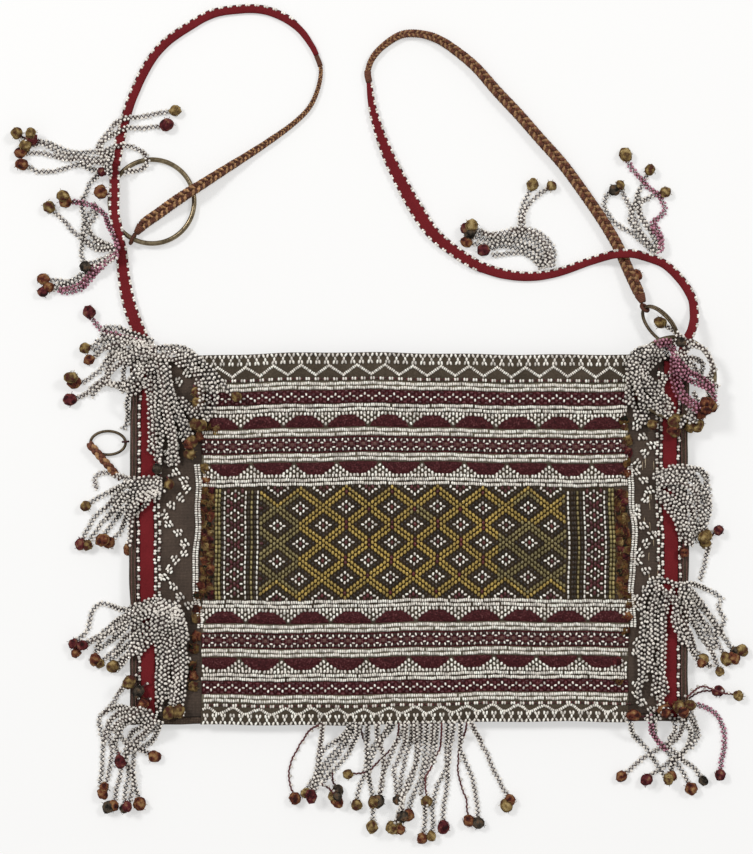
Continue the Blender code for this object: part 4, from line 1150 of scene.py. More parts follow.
# Each strap from the bag to its cord, or from its cord to the bag on the right.
STRAPS = {
    "left": (
        (15, -11), (15, -1), (7, 14), (0, 33), (-4, 52), (-6, 72), (-8, 86), (-10, 97), (-10, 113),
        (-10, 124), (-8, 142), (-3, 162), (2, 177), (12, 198), (24, 213), (41, 225), (56, 233), (73, 236),
        (89, 236), (104, 231), (116, 222), (124, 211), (127, 205)),
    "right": (
        (-217, 186), (-215, 170), (-210, 152), (-203, 134), (-194, 116), (-185, 100), (-174, 84), (-160, 72),
        (-142, 61), (-122, 55), (-104, 54), (-87, 57), (-70, 63), (-57, 67), (-45, 69), (-33, 68), (-17, 63),
        (-5, 52), (3, 39), (4, 27), (1, 17), (-3, 9), (-5, 1), (-6, -8))}
# Each cord from its strap to its eye, with its height over the ground.
CORDS = {
    "left": (
        (127, 204.5, 0), (130, 195, 0), (128, 182, 0), (122, 169, 0), (111, 158, 0), (96, 147, 0),
        (81, 137, 0.2), (64, 126, 1.8), (49, 116, 4.4), (41, 111, 4.7), (30, 104, 2.4), (20, 97, 0.5),
        (10, 90, 0.2), (4.0, 83.3, 0.8)),
    "right": (
        (-217, 186.5, 0), (-218, 194, 0), (-214, 204, 0), (-205, 213, 0), (-194, 219, 0), (-181, 219, 0),
        (-169, 215, 0), (-157, 207, 0), (-144, 196, 0), (-130, 180, 0), (-115, 164, 0), (-101, 148, 0),
        (-85, 130, 0), (-71, 111, 0), (-58, 92, 0), (-48, 75, 0), (-40, 57, 0.2), (-36, 48, 1.4),
        (-32.5, 40, 3.6), (-31.0, 36.2, 5.2))}
# The short plait, from the left link to its frayed end.
LEFT_PLAIT = ((-28, -60, 5.0), (-24, -64, 5.2), (-19, -70, 5.0), (-13, -77, 3.0), (-9, -82, 2.2))
# Widths in millimetres at shares of the length.
STRAP_WIDTHS = {
    "left": ((0.0, 9.5), (0.12, 9.0), (0.3, 6.6), (0.5, 6.2), (0.9, 5.6), (1.0, 3.6)),
    "right": ((0.0, 3.8), (0.07, 6.2), (0.15, 8.4), (0.26, 9.8), (0.36, 7.6), (0.6, 5.4), (1.0, 6.0))}
CORD_WIDTHS = {
    "left": ((0.0, 3.2), (0.3, 4.2), (0.55, 6.2), (0.8, 8.2), (0.95, 8.0), (1.0, 3.6)),
    "right": ((0.0, 4.2), (0.15, 5.6), (0.3, 7.2), (0.45, 8.0), (0.97, 8.2), (1.0, 4.2))}
# How thick a strap is. The one diameter that is declared for a cord, which tapers.
STRAP_THICKNESS = 0.0030
RING_WIRE = 0.00165
LINK_WIRE = 0.0010
# A ring's centre, axis and radius.
RINGS = {
    "left": ((-0.175, 0.230, 0.0033), (0.021355, 0.041911, 0.998893), 0.0287),
    "right": ((0.180, 0.110, 0.01255), (0.0349, 0.0, 0.999391), 0.0271)}
# The place and turn of the oval link.
OVAL_LINK = Matrix.Translation((0.1705, 0.1455, 0.01065)) @ (
    Matrix.Rotation(math.radians(-49.0), 4, "Z") @ Matrix.Rotation(math.radians(-12.0), 4, "Y")
    @ Matrix.Rotation(math.radians(34.0), 4, "X"))
# Its two turns of wire: half length, half width, distance from its middle plane and radius of the wire.
# The second turn is thinner, lies beside the first and clears the ring.
OVAL_TURNS = ((0.0160, 0.0085, 0.0, LINK_WIRE), (0.0157, 0.0080, 0.0019, LINK_WIRE * 0.8))
# A tuft of wool on the side of the right cord, near its eye.
CORD_TUFT = Vector((0.1555, 0.1800, 0.0042))
# How far beads stand up over the cloth in the middle block, between these two places, and beside it.
BLOCK_LEFT, BLOCK_RIGHT = -0.147, 0.155
BLOCK_TOP, SIDE_TOP = 0.0024, 0.0021


def route_from(corner, points):
    """The places of points in millimetres from a corner, which lie on the ground if they have no height."""
    return [Vector(((corner[0] + p[0]) * MM, (corner[1] + p[1]) * MM, (p[2] if len(p) > 2 else 0.0) * MM))
            for p in points]


def ring_points(side, count):
    """Points round the middle of a brass ring's wire."""
    centre, axis, radius = RINGS[side]
    turn = UP.rotation_difference(Vector(axis)).to_matrix()
    return [Vector(centre) + turn @ Vector((radius * c, radius * s, 0)) for c, s in circle(count)]


def widths_along(widths, count):
    """Half widths in metres at even steps."""
    return [along_table(widths, i / (count - 1)) * MM / 2 for i in range(count)]


def cord_path(side):
    """A plaited cord's centreline, with its half width at each point."""
    points = spaced(route_from(CORNERS[side], CORDS[side]), 0.0015)
    halves = widths_along(CORD_WIDTHS[side], len(points))
    for point, half in zip(points, halves):
        point.z += half * 0.92 + GAP
    return points, halves


def bag_relief(top):
    """A relief with only the bag on it."""
    relief = Relief()
    relief.lay_box((-HALF_WIDTH, -HALF_HEIGHT), (HALF_WIDTH, HALF_HEIGHT), top)
    return relief


def beaded_top(x, y):
    """How high the bag with its beads comes."""
    if abs(x) > HALF_WIDTH or abs(y) > HALF_HEIGHT:
        return 0.0
    return cloth_top(x, y) + (BLOCK_TOP if BLOCK_LEFT < x < BLOCK_RIGHT else SIDE_TOP)


def lay_ring(relief, side):
    """Lays a brass ring on a relief."""
    for p in ring_points(side, 180):
        relief.lay(p.x, p.y, RING_WIRE, p.z + RING_WIRE)


def strap_route(side):
    """A strap draped over what it crosses."""
    # The left strap starts inside the pouch, on the back panel.
    relief = bag_relief((lambda x, y: CLOTH) if side == "left" else beaded_top)
    lay_ring(relief, side)
    if side == "right":
        for p, half in zip(*cord_path("right")):
            if 0.17 < p.y < 0.28:
                relief.lay(p.x, p.y, half, p.z + half * 0.85)
    flat = spaced(route_from(CORNERS[side], STRAPS[side]), 0.002)
    return draped(flat, relief, 0.004, STRAP_THICKNESS / 2 + GAP)


def lay_floor():
    """Drapes the straps, and leaves the relief of all that the strands will lie on."""
    for side in SIDES:
        STATE["strap_" + side] = strap_route(side)
    floor = bag_relief(beaded_top)
    for side in SIDES:
        lay_ring(floor, side)
    for side in SIDES:
        for p, half in zip(*cord_path(side)):
            floor.lay(p.x, p.y, half, p.z + half * 0.8)
    for side in SIDES:
        route = STATE["strap_" + side]
        for p, half in zip(route, widths_along(STRAP_WIDTHS[side], len(route))):
            if side == "right" or p.y > HALF_HEIGHT:
                floor.lay(p.x, p.y, half, p.z + STRAP_THICKNESS * 0.6)
    STATE["floor"] = floor


# Shares of the length between which pairs of beads show along the left (-1) or right (1) edge.
STRAP_BEADS = {
    "left": ((0.03, 0.50, 1), (0.03, 0.93, -1)),
    "right": ((0.01, 0.98, -1), (0.05, 0.42, 1))}


def make_straps():
    """Red felt straps with pairs of white beads along their edges."""
    for number, side in enumerate(SIDES):
        route = STATE["strap_" + side]
        work = Work(130 + number)
        last = len(route) - 1
        axes = frames(route)
        halves = widths_along(STRAP_WIDTHS[side], len(route))
        points = []
        around = 14
        for point, (_, across, up), half in zip(route, axes, halves):
            half *= 1 + 0.05 * noise.noise((point.x * 120, point.y * 120, 4.0))
            for c, s in circle(around, 0.5):
                points.append(point + across * half * squared(c, 0.55)
                              + up * STRAP_THICKNESS * 0.48 * squared(s, 0.6))
        work.shape(points, ring_faces(len(route), around), "red_felt", 0.5)
        for low, high, edge in STRAP_BEADS[side]:
            # A pair of beads on every third point of the route.
            for i in range(int(last * low), int(last * high), 3):
                along, across, up = axes[i]
                place = route[i] + across * edge * (halves[i] - 0.0003) + up * 0.0010
                for shift in (-0.00088, 0.00088):
                    work.bead(place + along * shift, along, 0.0016, 0.0023, 0.0020, "white_glass", up=up)
                if i + 2 < last:
                    along, across, up = axes[i + 1]
                    ahead = route[i + 1] + across * edge * (halves[i] - 0.0002) + up * 0.0008
                    tube(work, [ahead, ahead + along * 0.0026], 0.0005, 5, "red_thread")
        work.make("strap_" + side, "red_wool", ["red_strap_" + side])


def plait(work, path, half_widths, half_heights, pitch, yarns):
    """Yarns that cross over and under each other along a path."""
    axes = frames(path)
    count = len(yarns)
    gone = [0.0]
    for a, b in zip(path, path[1:]):
        gone.append(gone[-1] + (b - a).length)
    for number, finish_name in enumerate(yarns):
        points, radii = [], []
        turns = math.tau * number / count
        phase = 0.0
        for i, (point, (_, across, up)) in enumerate(zip(path, axes)):
            if i:
                phase += (gone[i] - gone[i - 1]) / (pitch * half_widths[i] * 2) * math.tau
            angle = turns + phase
            thread = half_widths[i] * (0.62 - 0.045 * count)
            points.append(point + across * (half_widths[i] - thread) * math.sin(angle)
                          + up * (half_heights[i] - thread * 0.8) * math.sin(2 * angle))
            radii.append(thread)
        tube(work, points, radii, 6, finish_name, flat=0.8, pitch=0.0018)


def make_cords():
    """The two plaited cords, each with its path."""
    made = {}
    for number, side in enumerate(SIDES):
        path, halves = cord_path(side)
        work = Work(140 + number)
        plait(work, path, halves, [h * 0.86 for h in halves], 1.9,
              ("tan_yarn", "brown_yarn", "brown_yarn", "tan_yarn", "brown_yarn", "light_yarn", "brown_yarn"))
        for ends in (slice(0, 6), slice(-5, None)):
            tube(work, path[ends], [h * 1.12 for h in halves[ends]], 10, "brown_yarn", flat=0.9, pitch=0.0012)
        made[side] = (work.make("cord_" + side, "tan_plait", ["plaited_cord_" + side]), path)
    return made


def make_wrap(label, cad, thread, slot_name):
    """A ring of wound thread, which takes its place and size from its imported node."""
    packed = bpy.data.objects[cad]
    corners = np.array([packed.matrix_world @ v.co for v in packed.data.vertices])
    middle = corners.mean(axis=0)
    spread = corners - middle
    vectors = np.linalg.eigh(spread.T @ spread)[1]
    u = Vector(vectors[:, 2])
    v = Vector(vectors[:, 0]).cross(u)
    reach = np.linalg.norm(spread - np.outer(spread @ vectors[:, 0], vectors[:, 0]), axis=1)
    thick = (reach.max() - reach.min()) / 2
    major = (reach.max() + reach.min()) / 2
    work = Work(160 + len(label))
    points = [Vector(middle) + (u * c + v * s) * major for c, s in circle(60)]
    ribs = [thick * (1.07 if k % 2 == 0 else 0.87) for k in range(60)]
    tube(work, points, ribs, 8, thread, closed=True)
    if label == "right":
        pompon(work, CORD_TUFT, Vector((0.45, -0.89, 0.0)), 0.0034, "rust_wool")
    return work.make("eye_" + label, slot_name, [cad])


def make_brass():
    """Rings and links of aged brass wire, and the eyes of thread that hold them."""
    rings, eyes = [], []
    for number, side in enumerate(SIDES):
        work = Work(150 + number)
        wear = [RING_WIRE * (1 + 0.02 * noise.noise((k * 0.3, number, 0.0))) for k in range(96)]
        tube(work, ring_points(side, 96), wear, 14, "aged_brass", 0.5, closed=True)
        rings.append(work.make("ring_" + side, "aged_brass", ["brass_ring_" + side], "ring_" + side))
    low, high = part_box("dee_link_left")
    half_x, half_y = (high[0] - low[0]) / 2 - LINK_WIRE, (high[1] - low[1]) / 2 - LINK_WIRE
    dee = []
    for c, s in circle(72):
        z = low[2] + LINK_WIRE + (high[2] - low[2] - 2 * LINK_WIRE) * ((c + 1) / 2)
        dee.append(Vector(((low[0] + high[0]) / 2 + half_x * c, (low[1] + high[1]) / 2 + half_y * s, z)))
    work = Work(153)
    tube(work, dee, LINK_WIRE, 10, "dark_brass", 0.4, closed=True)
    work.make("link_left", "aged_brass", ["dee_link_left"])
    work = Work(154)
    for half_length, half_width, beside, wire in OVAL_TURNS:
        oval = [OVAL_LINK @ Vector((half_length * c, half_width * s, beside)) for c, s in circle(80)]
        tube(work, oval, wire, 10, "dark_brass", 0.4, closed=True)
    link = work.make("link_right", "aged_brass", ["oval_link_right"])
    for side in SIDES:
        eyes.append(make_wrap(side, "cord_eye_" + side, "brown_yarn", "tan_plait"))
    make_wrap("wrap", "dee_wrap_left", "red_thread", "dark_binding")
    return {"left": [eyes[0], rings[0]], "right": [eyes[1], link]}


def make_short_plait():
    """The short plait that is tied to the left link, with its frayed end."""
    work = Work(170)
    path = spaced(route_from(CORNERS["left"], LEFT_PLAIT), 0.001)
    plait(work, path, [0.0031] * len(path), [0.0019] * len(path), 2.0,
          ("brown_yarn", "tan_yarn", "brown_yarn"))
    tube(work, path[:4], 0.0022, 8, "brown_yarn", flat=0.8)
    along = (path[-1] - path[-4]).normalized()
    for k in range(8):
        turned = Matrix.Rotation((k - 3.5) * 0.12, 3, "Z") @ along
        ends = [path[-1] + turned * 0.0012 * j + Vector((0, 0, -0.0002 * j)) for j in range(4)]
        tube(work, ends, 0.0003, 4, "brown_yarn")
    work.make("plait_left", "tan_plait", ["short_plait_left"])


# Tassels

# A tassel's root and its strands. A strand's first letter is for white beads (w), pink beads (p) or bare
# red thread (t), and each other one for a ball of wool at its tip. Its route follows: x and y in turn, in
# millimetres from the root, which is measured from the middle of the bag.
TASSELS = {}
TASSELS["left_strap_upper"] = (-201, 263), (
    ("wdo", 0, 0, -13, 1, -22, 1, -33, 2, -45, 7, -53, 9),
    ("wo", 0, -2, -9, -3, -22, -2, -35, 0, -48, 6, -57, 6),
    ("wr", -1, -5, -9, -6, -24, -4, -38, -3, -51, 0, -61, 0),
    ("wr", -2, -7, -17, -7, -29, -9, -40, -12, -52, -12, -60, -9),
    ("w", -23, -7, -16, -11, -8, -12, -1, -11),
    ("wo", -5, -4, -9, 0, -11, 5, -6, 12, 0, 19, 8, 24, 23, 26, 39, 29),
    ("wd", -4, -2, -8, 2, -8, 7, -1, 12, 8, 16, 21, 18, 33, 19),
    ("w", -6, 1, 2, 5, 10, 5, 18, 2, 23, -4, 21, -9, 15, -12, 7, -14),
    ("w", -5, -10, -11, -15, -17, -21, -21, -30, -21, -38),
    ("wd", -2, -8, -6, -12),
    ("w", -1, -5, -2, -11, -2, -16),
    ("to", -59, 9, -64, 12),
    ("trr", -2, -29, -6, -28))
TASSELS["left_strap_lower"] = (-198, 196), (
    ("wo", 0, 0, -6, 2, -16, 5, -27, 10, -36, 19, -45, 28),
    ("w", -1, 2, -9, 5, -17, 10, -23, 18, -25, 28, -24, 37),
    ("w", -1, -1, -11, -6, -22, -8, -26, -3, -25, 7, -24, 17, -20, 26, -15, 31),
    ("w", -4, 3, -15, 8, -20, 17, -16, 26, -18, 32),
    ("w", -2, 1, -10, 1, -18, 3, -23, 8, -21, 15),
    ("pro", 1, 0, -1, 7, -5, 15, -8, 21, -12, 28, -24, 33, -33, 34),
    ("wr", -1, -3, -6, -5, -16, -11, -25, -17, -36, -20, -48, -19),
    ("wd", -1, -4, -12, -11, -22, -19, -32, -23, -42, -25, -49, -27),
    ("wr", -2, -2, -13, -9, -23, -15, -34, -21, -45, -23),
    ("p", 0, -2, -8, -8, -16, -16, -25, -25, -35, -28, -41, -27),
    ("p", 0, -3, -10, -8, -18, -15, -27, -23, -39, -26),
    ("tk", -16, -9, -20, -10))
TASSELS["top_left"] = (-176, 121), (
    ("w", 0, 0, -8, 8, -17, 14, -25, 20, -30, 23),
    ("w", 3, 3, -5, 12, -14, 18, -22, 24),
    ("w", -2, -3, -12, 4, -21, 10, -30, 14, -38, 14),
    ("w", -4, -5, -14, 1, -22, 7, -31, 10, -39, 7),
    ("w", -6, -6, -16, -1, -23, 5, -28, 7, -29, 1, -29, -6),
    ("w", -2, -4, -8, -10, -13, -16, -20, -18, -28, -16),
    ("w", -6, -4, -11, -10, -15, -15, -24, -15, -34, -15, -42, -20),
    ("w", 2, -2, -5, -9, -10, -16, -16, -19),
    ("w", 10, -8, 11, -24, 15, -40, 17, -54, 16, -66),
    ("w", 2, -8, 3, -26, 4, -42, 4, -56, 5, -68),
    ("w", 8, 6, 12, -8, 15, -20, 21, -34, 27, -48, 30, -56),
    ("pd", 0, 11, -17, 17, -30, 20, -38, 26, -40, 31),
    ("w", 2, 14, -10, 18, -22, 22, -32, 23),
    ("wo", 0, 11, -20, 16, -34, 13, -42, 10),
    ("wr", 0, 10, -22, 12, -34, 7, -40, 3),
    ("w", 2, 12, -12, 13, -24, 16, -34, 17),
    ("wro", 0, 8, -17, 8, -28, 2, -35, -7, -44, -13, -49, -14),
    ("wd", 0, 6, -14, 2, -26, -6, -36, -15, -44, -22, -52, -25),
    ("w", -2, -15, -11, -21, -26, -16, -34, -18, -40, -24),
    ("w", -2, 8, -18, 6, -26, 0, -30, -8, -26, -16),
    ("w", -1, 4, -8, -6, -14, -14, -20, -20),
    ("w", 0, 12, -8, 6, -16, -2, -18, -12, -12, -20),
    ("w", 4, 7, -4, 0, -6, -10, -2, -18),
    ("w", -12, -20, -15, -28, -15, -38, -19, -46),
    ("to", 30, -16, 31, -19),
    ("to", 33, -22, 33, -25),
    ("w", 3, 0, -1, -14, 0, -30, 1, -46, 1, -62),
    ("w", 4, -4, 6, -20, 6, -36, 8, -52, 7, -66),
    ("w", 8, -4, 9, -23, 11, -40, 14, -56, 13, -70),
    ("w", 6, 0, 10, -18, 13, -34, 16, -48, 18, -60, 19, -70),
    ("wo", 11, -2, 13, -16, 17, -32, 23, -48, 26, -60),
    ("wor", 13, -4, 15, -18, 20, -31, 24, -42, 28, -52),
    ("w", 8, 4, 17, 5, 27, -3, 34, -14, 36, -25, 32, -33, 26, -30, 21, -24),
    ("w", 8, 6, 18, 7, 30, 0, 38, -13, 40, -26, 35, -37, 28, -36, 22, -29),
    ("woo", 6, 8, 18, 10, 32, 3, 42, -10, 45, -25, 41, -36, 37, -42),
    ("wo", 26, 6, 36, -1, 46, -11, 52, -18, 57, -23),
    ("w", 2, 8, 8, 10, 16, 8, 24, 2, 30, -6),
    ("w", 1, 4, 8, 2, 16, 1, 22, -4),
    ("tk", 6, -68, 6, -71),
    ("to", 12, -78, 13, -81))
TASSELS["left_middle"] = (-169, 40), (
    ("w", 0, 0, -13, 1, -29, 3, -39, 5, -45, 1, -44, -6),
    ("wo", 1, -3, -15, -3, -29, -5, -41, -11, -49, -16),
    ("wd", 1, -5, -15, -7, -29, -12, -41, -21, -49, -33, -53, -41),
    ("wo", 0, -6, -15, -10, -27, -16, -38, -26, -46, -36, -49, -42),
    ("wr", -1, -7, -16, -12, -25, -19, -33, -29, -40, -38),
    ("wrr", -1, -7, -15, -14, -22, -23, -27, -33, -33, -40),
    ("wr", 0, -8, -13, -14, -19, -23, -20, -33, -21, -44),
    ("w", 1, 1, -9, 2, -19, -1, -27, -8, -33, -13, -39, -20),
    ("w", 1, -1, -7, -3, -16, -2, -26, -3, -35, -8),
    ("w", -1, -5, -11, -7, -21, -10, -31, -18, -37, -27),
    ("w", 3, -6, -5, -10, -9, -16, -15, -21),
    ("w", 1, -2, -7, -6, -17, -7, -25, -13, -31, -23))
TASSELS["left_lower"] = (-168, -44), (
    ("wd", 0, 0, -15, 0, -27, -3, -42, 0, -48, -6, -50, -18, -59, -25),
    ("wr", 2, -1, -16, -3, -30, -11, -42, -21, -52, -27, -57, -32),
    ("wd", 2, -2, -14, -5, -28, -13, -42, -23, -52, -27),
    ("wr", 2, -4, -12, -8, -24, -13, -38, -21, -44, -29, -46, -35),
    ("w", 4, -3, -12, -9, -24, -17, -36, -25, -44, -32),
    ("wo", 4, -7, -10, -13, -22, -21, -33, -31, -41, -39),
    ("w", 6, -5, -8, -14, -18, -23, -27, -32, -36, -39),
    ("wo", 6, -9, -6, -16, -15, -24, -24, -34, -32, -41),
    ("w", 8, -5, -4, -15, -12, -24, -21, -35, -30, -44),
    ("w", 4, 1, -10, -2, -20, -7, -28, -15, -34, -21),
    ("w", 10, -7, 0, -17, -8, -26, -16, -35),
    ("w", -4, -5, -5, -21, -1, -35, -3, -51, -1, -67),
    ("w", 0, -3, -1, -19, 2, -35, 1, -51, 3, -65),
    ("w", 4, -1, 3, -17, 5, -31, 5, -47, 6, -63),
    ("wo", 7, -1, 7, -17, 8, -33, 9, -49, 8, -64, 6, -70),
    ("w", 9, 2, 10, -14, 11, -30, 12, -45, 11, -59, 10, -67),
    ("wo", 11, 3, 12, -13, 15, -30, 16, -46, 15, -61, 13, -69),
    ("w", 12, -1, 15, -11, 17, -25),
    ("w", -16, -1, -6, 3, 4, 2, 11, -3, 15, -13, 16, -27),
    ("w", -12, -4, -2, -1, 7, -4, 12, -11, 14, -23),
    ("w", -2, 3, 6, -1, 12, -5, 16, -13),
    ("tk", -10, -53, -13, -57),
    ("to", -18, -47, -20, -50),
    ("tr", -8, -63, -10, -65))
TASSELS["bottom_left"] = (-176, -118), (
    ("wr", 0, 0, -18, 4, -30, 1, -35, -5, -33, -17, -33, -32, -35, -47, -34, -53),
    ("wr", 0, -3, -16, -1, -27, -5, -29, -17, -27, -29, -28, -41, -30, -49),
    ("wrk", 2, -3, -10, -5, -20, -11, -24, -23, -21, -35, -23, -49, -25, -61),
    ("wk", 4, -4, -6, -9, -14, -15, -18, -27, -15, -41, -17, -55, -18, -63),
    ("wd", 6, -3, -4, -13, -12, -20, -17, -31, -12, -45, -14, -57, -15, -61),
    ("wr", 8, -5, -2, -15, -10, -23, -12, -35, -11, -47, -8, -59),
    ("w", 8, -5, 5, -14, -2, -22, -13, -26, -19, -33),
    ("wr", -22, -15, -16, -21, -7, -25, 0, -29),
    ("w", -17, 19, -22, 13, -26, 6, -32, -1),
    ("w", 2, 1, -12, 3, -22, -1, -30, -10, -31, -21),
    ("w", 4, -1, -8, -3, -16, -7, -22, -17, -26, -23),
    ("w", -4, 5, -12, -1, -20, -5, -26, -13),
    ("td", -22, -27, -21, -30))
TASSELS["bottom_middle"] = (-57, -124), (
    ("tr", 0, 0, -9, -5, -19, -18, -24, -32, -24, -43, -22, -50),
    ("wo", -2, 0, -2, -5, -3, -14, -5, -27, -7, -38, -12, -47),
    ("w", 18, 0, 17, -5, 11, -16, 3, -25, -2, -33, -7, -43),
    ("wd", 16, 0, 15, -5, 8, -13, 0, -20, -3, -30, -6, -40, -9, -47),
    ("wd", 20, 0, 19, -6, 15, -14, 8, -24, 0, -34, -5, -42, -8, -49),
    ("w", 22, 0, 22, -8, 17, -19, 10, -29, 3, -37, -3, -43),
    ("tko", 5, -35, 5, -41, 7, -45),
    ("tkr", -3, -42, 3, -46, 7, -49),
    ("t", 24, -4, 26, -12, 29, -18, 29, -25),
    ("wo", 43, 0, 41, -7, 33, -16, 29, -25, 27, -36, 23, -45, 21, -54),
    ("w", 47, 0, 43, -7, 36, -16, 31, -26, 29, -37),
    ("to", 50, 0, 49, -13, 39, -25, 30, -33, 22, -36, 18, -36),
    ("wo", 29, 0, 29, -11, 28, -23, 29, -35, 31, -47, 32, -60, 32, -69),
    ("w", 36, 0, 35, -9, 38, -19, 39, -31, 38, -45, 34, -57),
    ("wko", 53, 0, 53, -7, 47, -18, 42, -29, 39, -41, 37, -51),
    ("wk", 55, 0, 55, -12, 51, -24, 47, -34, 48, -45, 49, -51),
    ("woor", 59, 0, 59, -9, 57, -19, 53, -31, 51, -43, 52, -57, 49, -69),
    ("w", 61, 0, 62, -15, 62, -29, 58, -42, 53, -51, 52, -61),
    ("wo", 65, 0, 65, -9, 64, -21, 59, -34, 55, -45, 52, -59, 48, -71),
    ("wrk", 69, 0, 69, -9, 68, -20, 66, -33, 63, -44, 59, -54, 57, -61),
    ("w", 73, 0, 73, -9, 72, -20, 69, -31, 67, -43, 65, -51),
    ("to", 79, 0, 79, -11, 77, -22, 70, -35, 68, -42, 69, -52),
    ("wr", 68, -57, 68, -67, 67, -77),
    ("w", 76, 0, 76, -7, 75, -18, 73, -29),
    ("wo", 83, 0, 83, -9, 82, -20, 82, -32, 77, -44, 74, -57, 74, -69, 73, -76),
    ("wd", 87, 0, 87, -9, 85, -20, 84, -33, 82, -45, 81, -59, 81, -69),
    ("tr", 96, 0, 95, -9, 91, -19, 90, -32, 93, -44, 96, -55, 97, -65),
    ("wk", 92, 0, 92, -9, 92, -18, 97, -30, 101, -42, 103, -55, 104, -66),
    ("wro", 99, 0, 103, -9, 109, -21, 114, -32, 120, -44, 125, -51))
TASSELS["bottom_right"] = (165, -116), (
    ("wr", 0, 0, 1, -11, 4, -20, 12, -29, 21, -42, 26, -51),
    ("wd", 26, 0, 31, -11, 29, -22, 19, -33, 7, -41, -1, -46),
    ("wr", 20, -3, 20, -13, 16, -21, 6, -27, -7, -36, -18, -44),
    ("wro", 17, -5, 26, -14, 24, -26, 16, -34, 15, -43),
    ("wk", 12, -3, 16, -13, 12, -24, 19, -32, 30, -42, 34, -47),
    ("wo", -17, -3, -12, -17, -3, -28, 5, -38, 10, -46),
    ("w", 23, -1, 29, -9, 33, -17, 27, -27),
    ("p", -2, -3, 0, -14, 5, -22, 10, -28),
    ("pd", 26, 4, 38, 1, 47, -6, 50, -20, 50, -32, 48, -42),
    ("td", 26, 7, 34, 12, 43, 13),
    ("to", 23, 9, 33, 15, 47, 12, 57, 10),
    ("trr", 1, 0, 5, 1),
    ("tor", 12, 1, 15, 2),
    ("to", 19, 2, 22, 3),
    ("tr", -5, -4, -10, -3),
    ("w", 9, 3, 5, -3, 1, -7, -5, -5))
TASSELS["right_lower"] = (182, -31), (
    ("w", 0, 0, 12, 1, 21, -4, 31, -10, 29, -15, 33, -24, 30, -31),
    ("wkro", 4, -3, 15, -13, 25, -25, 33, -36, 39, -44),
    ("wo", 1, -7, 13, -19, 23, -30, 30, -41, 33, -48),
    ("w", 8, -4, 17, -14, 25, -26, 28, -36, 27, -44),
    ("w", 6, -8, 15, -20, 22, -32, 24, -44),
    ("wo", 3, -13, 11, -25, 18, -36, 25, -48, 29, -57),
    ("wor", 1, -19, 8, -31, 12, -43, 16, -49),
    ("w", 0, -25, 5, -34, 10, -44, 16, -51, 24, -56),
    ("w", 4, 1, 14, -8, 22, -18, 28, -28, 32, -36),
    ("w", 2, -5, 8, -12, 13, -22, 16, -32, 19, -40),
    ("w", -17, 3, -22, -8, -23, -22, -25, -39, -25, -56, -25, -71, -26, -81),
    ("w", -14, -2, -19, -14, -20, -28, -21, -44, -21, -58),
    ("w", -12, 0, -17, -16, -16, -33, -18, -48, -16, -62, -16, -74),
    ("w", -8, -4, -12, -19, -12, -34, -12, -50, -10, -64, -7, -74),
    ("w", -5, -6, -9, -22, -9, -38, -10, -54, -11, -68, -12, -80),
    ("w", 0, -8, -1, -19, 1, -30, 5, -40),
    ("w", -4, -2, -2, -14, -4, -24, -1, -32),
    ("w", -14, 4, -6, 3, 2, -2, 6, -10),
    ("w", -16, 0, -8, -4, -2, -12))
TASSELS["right_middle"] = (172, 47), (
    ("w", 0, 0, 12, -2, 24, -8, 29, -19, 30, -32, 26, -44),
    ("w", -2, -4, 10, -6, 20, -13, 25, -23, 27, -35, 23, -46),
    ("w", -4, -10, 6, -11, 15, -18, 21, -28, 23, -40, 19, -48),
    ("w", -4, -16, 4, -19, 12, -26, 18, -35, 21, -44),
    ("w", 4, 2, 16, 2, 26, 0, 31, -6, 33, -16, 32, -26),
    ("w", -6, -4, 6, 0, 17, 1, 27, 1, 31, -6, 28, -14),
    ("w", -6, -6, 8, -4, 21, -7, 30, -16, 33, -27, 30, -37),
    ("woo", -4, -10, 8, -11, 20, -17, 27, -27, 30, -42),
    ("wo", -3, -14, 8, -19, 18, -26, 24, -37, 29, -47),
    ("w", -2, -20, 6, -27, 10, -36, 13, -45, 21, -50),
    ("w", 1, -24, 8, -32, 16, -40, 26, -49),
    ("w", -2, -6, 11, -9, 23, -14, 29, -24, 27, -34, 22, -41),
    ("w", -3, -9, 7, -8, 19, -12, 24, -22, 24, -32),
    ("w", 3, -11, 13, -17, 19, -26, 21, -35, 16, -43),
    ("w", 0, -16, 8, -24, 14, -34, 17, -44),
    ("w", -4, -2, 4, -6, 12, -2, 22, -4, 26, -12),
    ("td", 33, -46, 37, -42),
    ("w", 32, -52, 30, -62, 27, -75),
    ("tr", 14, -50, 14, -53))
